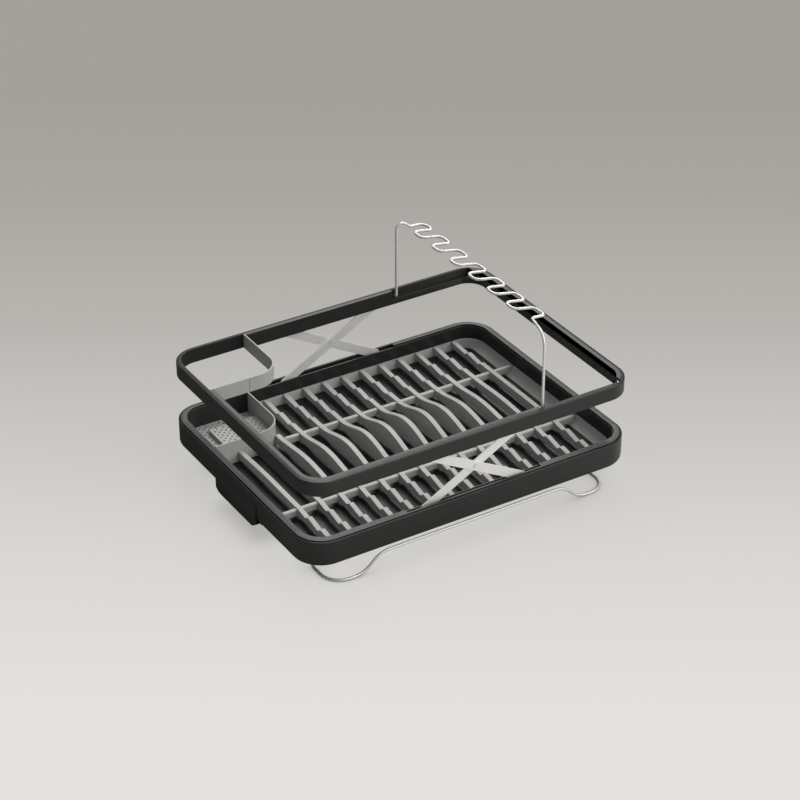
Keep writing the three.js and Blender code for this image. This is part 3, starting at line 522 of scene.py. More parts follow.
def evaluated(source):
    """A new bmesh of an object as its modifiers or its curve's thickness shape it. It is removed."""
    bpy.context.view_layer.update()
    shown = source.evaluated_get(bpy.context.evaluated_depsgraph_get())
    mesh = bpy.data.meshes.new_from_object(shown)
    bm = bmesh.new()
    bm.from_mesh(mesh)
    bpy.data.meshes.remove(mesh)
    bpy.data.objects.remove(source)
    return bm


def carved(base, *steps):
    """A bmesh after a row of steps, each ("cut", "join" or "keep", other bmesh)."""
    work = as_object(base, "work")
    names = {"cut": "DIFFERENCE", "join": "UNION", "keep": "INTERSECT"}
    tools = []
    for action, other in steps:
        tool = as_object(other, "tool")
        tools.append(tool)
        change = work.modifiers.new("carve", "BOOLEAN")
        change.operation = names[action]
        change.solver = "EXACT"
        change.object = tool
    bm = evaluated(work)
    for tool in tools:
        bpy.data.objects.remove(tool)
    if not bm.faces:
        raise RuntimeError("carving left nothing")
    bmesh.ops.remove_doubles(bm, verts=bm.verts, dist=WELD)
    bmesh.ops.dissolve_degenerate(bm, edges=bm.edges, dist=WELD)
    return bm


def finished(name, bm, body, slot, material, replaced, rounding=0.0):
    """Turns a millimetre bmesh into one piece of the part, with its body and material. Its slot is not
    used.
    """
    bmesh.ops.transform(bm, matrix=TO_PART, verts=bm.verts)
    for face in bm.faces:
        face.smooth = True
    limit = math.radians(FLAT_ANGLE)
    piece = as_object(bm, name)
    piece.data.materials.append(bpy.data.materials[material])
    if rounding:
        edge = piece.modifiers.new("rounding", "BEVEL")
        edge.width = rounding
        edge.segments = 2
        edge.limit_method = "ANGLE"
        edge.angle_limit = limit
        edge.use_clamp_overlap = False
        edge.miter_outer = "MITER_ARC"
    else:
        piece.data.set_sharp_from_angle(angle=limit)
    weighted = piece.modifiers.new("normals", "WEIGHTED_NORMAL")
    weighted.keep_sharp = True
    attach(piece, body)
    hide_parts(*replaced)
    return piece


def bent_points(corners, steps=8):
    """Points along straight runs with round bends. Each corner is (x, y, z, bend radius)."""
    places = [Vector(corner[:3]) for corner in corners]
    points = [places[0]]
    for before, here, after, corner in zip(places, places[1:], places[2:], corners[1:]):
        radius = corner[3]
        back, on = (before - here).normalized(), (after - here).normalized()
        half = back.angle(on) / 2
        centre = here + (back + on).normalized() * (radius / math.sin(half))
        start = here + back * (radius / math.tan(half)) - centre
        axis = back.cross(start).normalized()
        for step in range(steps + 1):
            turned = start.copy()
            turned.rotate(Matrix.Rotation((math.pi - 2 * half) * step / steps, 3, axis))
            points.append(centre + turned)
    return points + [places[-1]]


def wire_mesh(corners, radius):
    """A round wire with closed ends."""
    points = bent_points(corners)
    curve = bpy.data.curves.new("wire", "CURVE")
    curve.dimensions = "3D"
    curve.bevel_depth = radius
    curve.bevel_resolution = 4
    curve.use_fill_caps = True
    line = curve.splines.new("POLY")
    line.points.add(len(points) - 1)
    for point, place in zip(line.points, points):
        point.co = (*place, 1.0)
    bm = evaluated(linked("wire", curve))
    bmesh.ops.remove_doubles(bm, verts=bm.verts, dist=WELD / 2)
    return bm


# Pieces

def tray_shell(settings):
    """Outer shell of the tray, with its drain hole and the sockets of the foot wires."""
    shell = inset_block(*TRAY_OUTLINE, 0.0, 0.0, SHELL_TOP, SHELL_FILLET)
    inside = inset_block(
        *TRAY_OUTLINE, SHELL_WALL, SHELL_FLOOR, SHELL_TOP + OVER, SHELL_FILLET - SHELL_WALL,
    )
    corners = [(x, y) for x in (-SOCKET_X, SOCKET_X) for y in (-SOCKET_Y, SOCKET_Y)]
    bosses = rods(*[
        (SOCKET_RADIUS, (x, y, -SOCKET_DEPTH), (x, y, SHELL_FLOOR / 2)) for x, y in corners
    ])
    bores = rods(
        *[(BORE, (x, y, -SOCKET_DEPTH - OVER), (x, y, -SMALL_GAP)) for x, y in corners],
        (DRAIN_RADIUS, (DRAIN_X, 0.0, -OVER), (DRAIN_X, 0.0, SHELL_FLOOR + OVER)),
    )
    levels = ((0.0, -OVER), (0.0, SHELL_TOP - SHELL_SLOPE), (SHELL_WALL, SHELL_TOP))
    slope = lofted_block(TRAY_OUTLINE, levels)
    bm = carved(shell, ("keep", slope), ("cut", inside), ("join", bosses), ("cut", bores))
    return finished(
        "tray_shell", bm, "tray", *BLACK, ["tray_outer_shell"], settings.edge_rounding,
    )


def guide_parts(side, height, z0, z1):
    """The rib that guides a side's pins, and the rods and slide that open it."""
    y0, y1 = side * GUIDE_Y, side * (GUIDE_Y + GUIDE_THICK)
    near, far = side * (GUIDE_Y - OVER), side * (GUIDE_Y + GUIDE_THICK + OVER / 2)
    rib = boxes((-SLOT_HALF, SLOT_HALF, y0, y1, z0, z1))
    places = (SPREAD, -SPREAD, -SLIDE_END)
    holes = rods(*[(BORE, (x, near, height), (x, far, height)) for x in places])
    slide = boxes((-SLIDE_END, -SPREAD, near, far, height - BORE, height + BORE))
    return carved(rib, ("cut", holes), ("cut", slide))


def tray_tub(settings):
    """Inner tub with the tray's rim and the slots that the links fold into."""
    levels = ((0.0, RIM_BOTTOM), (0.0, TRAY_TOP - RIM_CROWN), (RIM_CROWN_WIDTH, TRAY_TOP))
    rim = lofted_block([size - RIM_INSET for size in TRAY_OUTLINE], levels)
    hollow = inset_block(*TRAY_OUTLINE, RIM_INSET + RIM_WEB, RIM_BOTTOM - OVER, TRAY_TOP - RIM_WEB)
    bowl = inset_block(*TRAY_OUTLINE, TUB_INSET - TUB_WALL, TUB_UNDER, TRAY_TOP, SHELL_FILLET)
    inside = inset_block(*TRAY_OUTLINE, TUB_INSET, TUB_FLOOR, TRAY_TOP + OVER, TUB_FILLET)
    ledge = inset_block(*TRAY_OUTLINE, LEDGE_INSET, LEDGE_TOP, TRAY_TOP + OVER)
    steps = [("cut", hollow), ("join", bowl), ("cut", inside), ("cut", ledge)]
    for side in (-1, 1):
        slot = (-SLOT_HALF, SLOT_HALF, side * LINK_WALL, side * GUIDE_Y, LEDGE_TOP, TRAY_TOP + OVER)
        steps.append(("cut", boxes(slot)))
        rib = guide_parts(side, LOW_PIVOT, LOW_PIVOT - GUIDE_BAND, TRAY_TOP - RIM_WEB / 2)
        steps.append(("join", rib))
    drain = rods((DRAIN_RADIUS, (DRAIN_X, 0.0, 0.0), (DRAIN_X, 0.0, TUB_FLOOR + OVER)))
    bm = carved(rim, *steps, ("cut", drain))
    return finished("tray_tub", bm, "tray", *BLACK, ["tray_inner_tub"], settings.edge_rounding)


def upper_frame(settings):
    """Raised frame: a rail open below, thinner round the cutlery corner, with the holder's pockets."""
    outline = (FRAME_HALF_X, FRAME_HALF_Y, FRAME_CORNER)
    low, high, under = FRAME_BOTTOM - OVER, FRAME_TOP + OVER, FRAME_TOP - FRAME_WEB
    drops = ((0.0, FRAME_TOP - FRAME_BOTTOM), *FRAME_CROWN)
    block = lofted_block(outline, [(inset, FRAME_TOP - drop) for inset, drop in drops])
    thin = block.copy()
    channel, thin_channel = [
        carved(
            inset_block(*outline, FRAME_WALL, low, under),
            ("cut", inset_block(*outline, width - FRAME_INNER_WALL, low - OVER, high)),
        )
        for width in (FRAME_RAIL, THIN_RAIL)
    ]
    end_x, end_y = CUP_X + CUP_WALL / 2 + SMALL_GAP, CUP_Y - CUP_WALL / 2 - SMALL_GAP
    region = (-FRAME_HALF_X - OVER, end_x, end_y, FRAME_HALF_Y + OVER, low - OVER, high + OVER)
    thin = carved(
        thin, ("keep", boxes(region)), ("cut", inset_block(*outline, THIN_RAIL, low, high)),
        ("cut", thin_channel),
    )
    inner_x, inner_y = FRAME_HALF_X - FRAME_RAIL, FRAME_HALF_Y - FRAME_RAIL
    wall_x, wall_y = FRAME_HALF_X - FRAME_WALL / 2, FRAME_HALF_Y - FRAME_WALL / 2
    fills = boxes(
        (end_x, end_x + FRAME_INNER_WALL, inner_y, wall_y, FRAME_BOTTOM, under + JOIN),
        (-wall_x, -inner_x, end_y - FRAME_INNER_WALL, end_y, FRAME_BOTTOM, under + JOIN),
    )
    steps = [
        ("cut", inset_block(*outline, FRAME_RAIL, low, high)), ("cut", channel),
        ("cut", boxes(region)), ("join", thin), ("join", fills),
    ]
    for side in (-1, 1):
        wall = FRAME_HALF_Y - THIN_RAIL
        body = (
            POCKET_START - FRAME_INNER_WALL, POCKET_END + FRAME_INNER_WALL, side * inner_y,
            side * (wall + FRAME_INNER_WALL), POCKET_FLOOR - FRAME_INNER_WALL, under + JOIN,
        )
        pocket = (
            POCKET_START, POCKET_END, side * (inner_y - FRAME_RAIL), side * wall, POCKET_FLOOR, high,
        )
        bore = (
            BORE, (HOLDER_X, side * (inner_y - OVER), HOLDER_PIVOT),
            (HOLDER_X, side * (wall + FRAME_INNER_WALL + OVER / 2), HOLDER_PIVOT),
        )
        steps += [("join", boxes(body)), ("cut", boxes(pocket)), ("cut", rods(bore))]
        steps.append(("join", guide_parts(side, HIGH_PIVOT, FRAME_BOTTOM, under + JOIN)))
    bm = carved(block, *steps)
    return finished("upper_frame_rail", bm, "frame", *BLACK, ["upper_frame"], settings.edge_rounding)


def hump_height(x):
    """How far a fin rises between the bars."""
    reach = HUMP_LEFT if x < HUMP_CENTRE else HUMP_RIGHT
    return HUMP_RISE * math.cos((math.pi / 2) * ((x - HUMP_CENTRE) / reach)) ** 2


def notched(start, end, places):
    """The notched top of a fin's end stretch. Each place is (share of the stretch, drop)."""
    return [(start + (end - start) * share, FIN_TOP - drop) for share, drop in places]


def fin_profile(x, back_end):
    """A fin's outline in Y and Z, from the back end over the top to the front end."""
    front_end = -(TUB_HALF_Y - MAT_SIDE_TOP)
    clear = BAR_WIDTH / 2
    points = [(back_end, FIN_BOTTOM)]
    hump_back = back_end
    if back_end > CUP_Y + CUP_CORNER:
        points += notched(back_end, BAR_PLACE + clear, BACK_NOTCHES)
        hump_back = BAR_PLACE - clear
    rise, front = hump_height(x), clear - BAR_PLACE
    for step in range(HUMP_STEPS + 1):
        y = hump_back + (front - hump_back) * step / HUMP_STEPS
        reach = hump_back - HUMP_PEAK if y > HUMP_PEAK else HUMP_PEAK - front
        swell = math.cos((math.pi / 2) * (abs(y - HUMP_PEAK) / reach)) ** 2
        points.append((y, FIN_TOP + rise * swell))
    points += notched(-clear - BAR_PLACE, front_end, FRONT_NOTCHES)
    points.append((front_end, FIN_BOTTOM))
    return points


def cup_front(x):
    """How far back a fin whose left side is at x can run before it meets the cup's round wall."""
    outer = CUP_CORNER + CUP_WALL / 2 + SMALL_GAP
    along = max(x - CUP_X + CUP_CORNER, 0.0)
    return CUP_Y + CUP_CORNER - math.sqrt(outer ** 2 - along ** 2)


def add_fin(bm, x, back_end, rounding):
    """One fin with a round top edge."""
    part = bmesh.new()
    points = [(x - FIN_WIDTH / 2, y, z) for y, z in fin_profile(x, back_end)]
    near, far = add_outline(part, points, (FIN_WIDTH, 0.0, 0.0))
    tops = [
        edge for face in (near, far) for edge in face.edges
        if min(v.co.z for v in edge.verts) > FIN_BOTTOM + JOIN
    ]
    round_off(part, tops, rounding, 3)
    mesh = bpy.data.meshes.new("fin")
    part.to_mesh(mesh)
    part.free()
    bm.from_mesh(mesh)
    bpy.data.meshes.remove(mesh)


def tub_space(top):
    """The room inside the tub up to a height, less the gap that its inlays keep."""
    return inset_block(TUB_HALF_X, TUB_HALF_Y, TUB_CORNER, SMALL_GAP, MAT_BOTTOM, top, TUB_FILLET)


def plate_mat(settings):
    """Grey mat: a sloping rim, two bars and the fins between which plates stand."""
    hollow = bmesh.new()
    levels = [(0.0, MAT_BOTTOM - OVER)]
    for step in range(SLOPE_STEPS + 1):
        share = step / SLOPE_STEPS
        climb = MAT_CURVE_SHARE * share + (1 - MAT_CURVE_SHARE) * share ** 2
        levels.append((share, MAT_FOOT + (MAT_TOP - MAT_FOOT) * climb))
    levels.append((1.0, MAT_TOP + OVER))
    add_lofted_block(hollow, [
        (
            TUB_HALF_X - MAT_END_FOOT + (MAT_END_FOOT - MAT_END_TOP) * share,
            TUB_HALF_Y - MAT_SIDE_FOOT + (MAT_SIDE_FOOT - MAT_SIDE_TOP) * share,
            TUB_CORNER - MAT_END_TOP - (MAT_END_FOOT - MAT_END_TOP) * (1 - share), z,
        )
        for share, z in levels
    ])
    cup_face = CUP_X + CUP_WALL / 2 + SMALL_GAP
    cup_side = CUP_Y - CUP_WALL / 2 - SMALL_GAP
    region = boxes((-HALF_LENGTH, cup_face, cup_side, HALF_WIDTH, 0.0, TRAY_TOP))
    bm = carved(tub_space(MAT_TOP), ("cut", hollow), ("cut", region))
    bar_end = TUB_HALF_X - SMALL_GAP - MAT_END_TOP
    for x0, place in ((-bar_end, -BAR_PLACE), (cup_face, BAR_PLACE)):
        before = set(bm.verts)
        add_box(
            bm, x0, bar_end, place - BAR_WIDTH / 2, place + BAR_WIDTH / 2, FIN_BOTTOM, BAR_TOP,
        )
        fresh = set(bm.verts) - before
        tops = [
            e for e in bm.edges
            if set(e.verts) <= fresh and min(v.co.z for v in e.verts) > MAT_TOP
        ]
        round_off(bm, tops, BAR_ROUNDING, 4)
    for index in range(FIN_COUNT):
        x = (index - (FIN_COUNT - 1) / 2) * FIN_PITCH
        left = x - FIN_WIDTH / 2
        back_end = cup_front(left) if left < cup_face else TUB_HALF_Y - MAT_SIDE_TOP
        add_fin(bm, x, back_end, settings.fin_rounding)
    fins = [f"mat_fin_{index + 1:02d}" for index in range(FIN_COUNT)]
    return finished("plate_mat", bm, "tray", *GREY, ["mat_frame", *fins])


def corner_wall(back_y, left_x, low, high):
    """The curved wall of the cutlery corner, from the back round to the left."""
    centre = Vector((CUP_X - CUP_CORNER, CUP_Y + CUP_CORNER, low))
    bm = bmesh.new()
    ends = [(CUP_X - CUP_WALL / 2, back_y), (CUP_X + CUP_WALL / 2, back_y)]
    line = bm.edges.new([bm.verts.new((x, y, low)) for x, y in ends])
    made = bmesh.ops.extrude_edge_only(bm, edges=[line])["geom"]
    turned = of_kind(made, BMVert)
    moved(bm, turned, (0.0, centre.y - back_y, 0.0))
    last = bmesh.ops.spin(
        bm, geom=[*turned, of_kind(made, BMEdge)[0]], cent=centre, axis=(0, 0, 1),
        angle=-math.pi / 2, steps=CORNER_STEPS,
    )["geom_last"]
    made = bmesh.ops.extrude_edge_only(bm, edges=of_kind(last, BMEdge)[:1])["geom"]
    moved(bm, of_kind(made, BMVert), (left_x - centre.x, 0.0, 0.0))
    made = bmesh.ops.extrude_face_region(bm, geom=list(bm.faces))["geom"]
    moved(bm, of_kind(made, BMVert), (0.0, 0.0, high - low))
    return bm


def cutlery_cup(settings):
    """Wall of the cutlery cup in the tray."""
    wall = corner_wall(TUB_HALF_Y - SMALL_GAP, SMALL_GAP - TUB_HALF_X, MAT_BOTTOM, CUP_TOP)
    bm = carved(wall, ("keep", tub_space(TRAY_TOP)))
    return finished("cutlery_cup", bm, "tray", *GREY, ["cutlery_cup_wall"], settings.edge_rounding)


def plate_outline(left, back, inset, z):
    """Plan outline inside the cup's wall, with straight sides and the cup's round corner."""
    half = CUP_WALL / 2 + SMALL_GAP + inset
    x, y = left + inset, back - inset
    points = [(CUP_X - half, y), (x, y), (x, CUP_Y + half)]
    reach = CUP_CORNER - half
    for step in range(CORNER_STEPS + 1):
        angle = (step / CORNER_STEPS - 1) * (math.pi / 2)
        points.append((
            CUP_X - CUP_CORNER + reach * math.cos(angle), CUP_Y + CUP_CORNER + reach * math.sin(angle),
        ))
    return [(x, y, z) for x, y in points]


def drain_holes(settings):
    """Rods for the plate's staggered holes, clear of its step, its edges and its round corners."""
    holes = bmesh.new()
    pitch, radius = settings.hole_pitch, settings.hole_radius
    row_pitch, clear = pitch * HOLE_ROW_SHARE, settings.hole_radius + PLATE_THICK
    corner = TUB_CORNER - SMALL_GAP
    for row in range(int((TUB_HALF_Y - CUP_Y - 2 * PLATE_EDGE) / row_pitch) + 1):
        y = CUP_Y + PLATE_EDGE + row * row_pitch
        for column in range(int((CUP_X + TUB_HALF_X - 2 * PLATE_EDGE) / pitch) + 1):
            x = PLATE_EDGE - TUB_HALF_X + (column + (row % 2) / 2) * pitch
            in_cup = math.hypot(
                max(x - CUP_X + CUP_CORNER, 0.0), max(CUP_Y + CUP_CORNER - y, 0.0),
            )
            from_corner = math.hypot(
                max(-x - (TUB_HALF_X - corner), 0.0), max(y - (TUB_HALF_Y - corner), 0.0),
            )
            if (
                x < CUP_X - PLATE_EDGE and y < TUB_HALF_Y - PLATE_EDGE
                and (abs(x - STEP_X) > clear or y > STEP_Y) and (abs(y - STEP_Y) > clear or x < STEP_X)
                and in_cup < CUP_CORNER - clear and from_corner < corner - clear
            ):
                add_rod(holes, radius, (x, y, 0.0), (x, y, PLATE_TOP + OVER), settings.hole_sides)
    return holes


def drain_plate(settings):
    """Perforated plate at the bottom of the cup: a low brim and a raised middle that is open below."""
    brim, middle, hollow = bmesh.new(), bmesh.new(), bmesh.new()
    low = PLATE_BRIM - PLATE_THICK
    add_outline(brim, plate_outline(-HALF_LENGTH, HALF_WIDTH, 0.0, low), (0.0, 0.0, PLATE_THICK))
    rise = (0.0, 0.0, PLATE_TOP - MAT_BOTTOM)
    top = add_outline(middle, plate_outline(STEP_X, STEP_Y, 0.0, MAT_BOTTOM), rise)[1]
    round_off(middle, list(top.edges), STEP_ROUNDING, 3)
    add_outline(
        hollow, plate_outline(STEP_X, STEP_Y, PLATE_THICK, 0.0), (0.0, 0.0, PLATE_TOP - PLATE_THICK),
    )
    bm = carved(
        brim, ("keep", tub_space(TRAY_TOP)), ("join", middle), ("cut", hollow),
        ("cut", drain_holes(settings)),
    )
    return finished("drain_plate", bm, "tray", *GREY, ["cutlery_drain_plate"])


def cutlery_bands(settings):
    """The band of the cutlery corner in the frame, in two lengths with a fine seam."""
    gap, half, rounding = SMALL_GAP / 2, CUP_WALL / 2, settings.edge_rounding
    side = corner_wall(BAND_BACK, SEAM_X + gap, FRAME_BOTTOM, FRAME_TOP)
    front = boxes((BAND_LEFT, SEAM_X - gap, CUP_Y - half, CUP_Y + half, FRAME_BOTTOM, FRAME_TOP))
    return [
        finished("band_side", side, "frame", *GREY, ["cutlery_band_side"], rounding),
        finished("band_front", front, "frame", *GREY, ["cutlery_band_front"], rounding),
    ]


def link_strip(side, place, layer, y, lean):
    """One flat strip with round ends, its pin holes and a rivet hole, with its faces upright."""
    half = math.hypot(2 * SPREAD, HIGH_PIVOT - LOW_PIVOT) / 2
    bm = bmesh.new()
    verts = bmesh.ops.create_circle(
        bm, cap_ends=True, radius=STRIP_WIDTH / 2, segments=48,
    )["verts"]
    for end in (-1, 1):
        moved(bm, [v for v in verts if (v.co.x > 0) == (end > 0)], (end * half, 0.0, 0.0))
    raise_face(bm, verts[0].link_faces[0], (0.0, 0.0, STRIP_THICK))
    holes = rods(
        *[(BORE, (x, 0.0, -OVER), (x, 0.0, OVER)) for x in (-half, half)],
        (RIVET_HOLE, (0.0, 0.0, -OVER), (0.0, 0.0, OVER)),
    )
    bm = carved(bm, ("cut", holes))
    for turn, axis in ((math.pi / 2, "X"), (lean, "Y")):
        matrix = Matrix.Rotation(turn, 3, axis)
        bmesh.ops.rotate(bm, cent=(0, 0, 0), matrix=matrix, verts=bm.verts)
    middle_y = side * (y + STRIP_THICK / 2) + STRIP_THICK / 2
    moved(bm, list(bm.verts), (0.0, middle_y, (LOW_PIVOT + HIGH_PIVOT) / 2))
    finish = "rack_strip_rising" if lean > 0 else "rack_strip_falling"
    return finished(
        f"strip_{place}_{layer}", bm, f"{layer}_link_{place}", "bright_steel", finish,
        [f"link_{place}_{layer}"], STRIP_ROUNDING,
    )


def headed_pin(name, body, node, x, z, side, head, tail, radius, head_radius):
    """A pin with a flat, softly rounded head at each end."""
    bm = bmesh.new()
    add_rod(bm, radius, (x, side * head, z), (x, side * tail, z))
    for start, end in ((head - PIN_HEAD, head), (tail, tail + PIN_HEAD)):
        before = set(bm.verts)
        add_rod(bm, head_radius, (x, side * start, z), (x, side * end, z))
        rim = [e for e in bm.edges if set(e.verts) <= set(bm.verts) - before]
        outside = max if start > head else min
        face_y = outside(abs(v.co.y) for e in rim for v in e.verts)
        edge = [e for e in rim if all(abs(abs(v.co.y) - face_y) < TOUCH for v in e.verts)]
        round_off(bm, edge, PIN_HEAD * HEAD_ROUNDING_SHARE, 3)
    return finished(name, bm, body, *WIRE, [node])


def scissor_links(settings):
    """Both pairs of crossed strips with their pins and rivets."""
    lean = math.atan2(HIGH_PIVOT - LOW_PIVOT, 2 * SPREAD)
    for side, place in ((-1, "front"), (1, "back")):
        for layer, y, way in (("outer", OUTER_STRIP, 1), ("inner", INNER_STRIP, -1)):
            link_strip(side, place, layer, y, way * lean)
            body, head = f"{layer}_link_{place}", y - SMALL_GAP / 2
            for end, x, z in (("frame", -SPREAD, HIGH_PIVOT), ("tray", SPREAD, LOW_PIVOT)):
                headed_pin(
                    f"stud_{place}_{layer}_{end}", body, f"pin_{place}_{layer}_{end}",
                    way * x, z, side, head, PIN_END, PIN_RADIUS, PIN_HEAD_RADIUS,
                )
        headed_pin(
            f"cross_rivet_{place}", f"outer_link_{place}", f"rivet_{place}",
            0.0, (LOW_PIVOT + HIGH_PIVOT) / 2, side, INNER_STRIP - PIN_GAP / 2,
            OUTER_STRIP + STRIP_THICK + PIN_GAP / 2, PIN_RADIUS, RIVET_HEAD_RADIUS,
        )


def glass_holder(settings):
    """The wire of the glass holder, from its back pivot over the loops to its front pivot."""
    route = [
        (HOLDER_X, HOLDER_PIN_Y, HOLDER_PIVOT, 0.0),
        (HOLDER_X, HOLDER_LEG_Y, HOLDER_PIVOT, HOLDER_END_BEND),
        (HOLDER_X, HOLDER_LEG_Y, HOLDER_PEAK + HOLDER_APEX_RISE, HOLDER_APEX_BEND),
        (
            LOOP_NEAR + HOLDER_LEAD_PAST, HOLDER_LEG_Y - HOLDER_LEAD_IN, HOLDER_TOP,
            HOLDER_LEAD_BEND,
        ),
        (LOOP_FAR, LOOP_FIRST + LOOP_SIDE, HOLDER_TOP, LOOP_LEAD_BEND),
    ]
    for index in range(LOOP_COUNT):
        tip = LOOP_FIRST - index * LOOP_PITCH
        near, far = LOOP_NEAR - index * LOOP_LEAN, LOOP_FAR - index * LOOP_LEAN
        route.append((far, tip, HOLDER_TOP, LOOP_TIP_BEND))
        if index + 1 < LOOP_COUNT:
            route += [
                (near, tip + LOOP_TILT, HOLDER_TOP, LOOP_TURN_BEND),
                (near, tip + LOOP_TILT - LOOP_SIDE, HOLDER_TOP, LOOP_WIDE_BEND),
                (far - LOOP_LEAN, tip - LOOP_SIDE, HOLDER_TOP, LOOP_WIDE_BEND),
            ]
        else:
            route.append((near + LOOP_END, tip + LOOP_TILT / 3, HOLDER_TOP, LOOP_TURN_BEND))
    route += [
        (HOLDER_X, -HOLDER_LEG_Y, (HOLDER_TOP + HOLDER_PEAK) / 2, HOLDER_FRONT_BEND),
        (HOLDER_X, -HOLDER_LEG_Y, HOLDER_PIVOT, HOLDER_END_BEND),
        (HOLDER_X, -HOLDER_PIN_Y, HOLDER_PIVOT, 0.0),
    ]
    bm = wire_mesh(route, settings.wire_radius)
    return finished("holder_wire", bm, "glass_holder", *WIRE, ["glass_holder_wire"])


def foot_wire(settings, side, place):
    """One foot wire: a bar under the tray's edge that drops into a flat loop at each end."""
    right = [
        (SOCKET_X, SOCKET_Y, -2 * SMALL_GAP, 0.0),
        (SOCKET_X, SOCKET_Y, FOOT_LOW, FOOT_END_BEND),
        (SOCKET_X, FOOT_LINE, FOOT_LOW, FOOT_CORNER),
        (FOOT_FLAT_END, FOOT_LINE, FOOT_LOW, FOOT_BEND),
        (FOOT_BAR_END, FOOT_LINE, FOOT_BAR, FOOT_BEND),
    ]
    left = [(-x, y, z, radius) for x, y, z, radius in reversed(right)]
    route = [(x, side * y, z, radius) for x, y, z, radius in right + left]
    bm = wire_mesh(route, settings.wire_radius)
    everything = [*bm.verts, *bm.edges, *bm.faces]
    cut = bmesh.ops.bisect_plane(
        bm, geom=everything, plane_co=(0, 0, -TRAY_RISE), plane_no=(0, 0, -1), clear_outer=True,
    )["geom_cut"]
    bmesh.ops.holes_fill(bm, edges=of_kind(cut, BMEdge), sides=0)
    return finished(f"foot_{place}", bm, "tray", *WIRE, [f"foot_wire_{place}"])


def both_feet(settings):
    """Both foot wires."""
    for side, place in ((-1, "front"), (1, "back")):
        foot_wire(settings, side, place)


def drain_spout(settings):
    """Spout: a soft bulging lip outside the tray, and the trough behind it."""
    back = -HALF_LENGTH - LIP_GAP
    height = LIP_TOP - LIP_BOTTOM
    points = [(back - out * LIP_REACH, LIP_BOTTOM + up * height) for out, up in LIP_CURVE_SHARES]
    inner = back + TROUGH_SHEET
    points += [(inner, LIP_BOTTOM), (inner, -SMALL_GAP), (back, 0.0)]
    side = bmesh.new()
    add_outline(side, [(x, -LIP_HALF, z) for x, z in points], (0.0, 2 * LIP_HALF, 0.0))
    face = bmesh.new()
    corners = (
        (-LIP_HALF, LIP_TOP), (-LIP_HALF, LIP_BOTTOM), (LIP_HALF, LIP_BOTTOM), (LIP_HALF, LIP_TOP),
    )
    add_outline(face, [(back - LIP_DEPTH, y, z) for y, z in corners], (2 * LIP_DEPTH, 0.0, 0.0))
    low = [
        e for e in face.edges
        if all(abs(v.co.z - LIP_BOTTOM) < TOUCH for v in e.verts)
        and abs(e.verts[0].co.y - e.verts[1].co.y) < TOUCH
    ]
    round_off(face, low, LIP_CORNER, 12)
    ends = bmesh.new()
    add_rounded_block(ends, LIP_DEPTH, LIP_HALF, LIP_END_ROUNDING, LIP_BOTTOM - OVER, LIP_TOP + OVER)
    moved(ends, list(ends.verts), (back - LIP_REACH + LIP_DEPTH, 0.0, 0.0))
    lip = carved(side, ("keep", face), ("keep", ends))
    near, end = back + JOIN, TROUGH_LENGTH - HALF_LENGTH
    trough = boxes((near, end, -TROUGH_HALF, TROUGH_HALF, TROUGH_FLOOR, -2 * SMALL_GAP))
    flange_half, flange_top = TROUGH_HALF + TROUGH_FLANGE, TROUGH_FLOOR / 2
    flange = boxes((near, end, -flange_half, flange_half, flange_top - TROUGH_SHEET, flange_top))
    hollow_half = TROUGH_HALF - TROUGH_SHEET
    hollow = boxes((
        inner, end - TROUGH_SHEET, -hollow_half, hollow_half, TROUGH_FLOOR + TROUGH_SHEET, OVER,
    ))
    bm = carved(lip, ("join", carved(trough, ("join", flange), ("cut", hollow))))
    return finished("spout_lip", bm, "spout", *BLACK, ["drain_spout"], LIP_ROUNDING)


def kept_nodes(settings):
    """Finishes of the CAD nodes that stay in view."""
    for name in ("spout_rail_front", "spout_rail_back"):
        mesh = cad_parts[name].data
        mesh.materials.clear()
        mesh.materials.append(bpy.data.materials["rack_black"])


# Stage

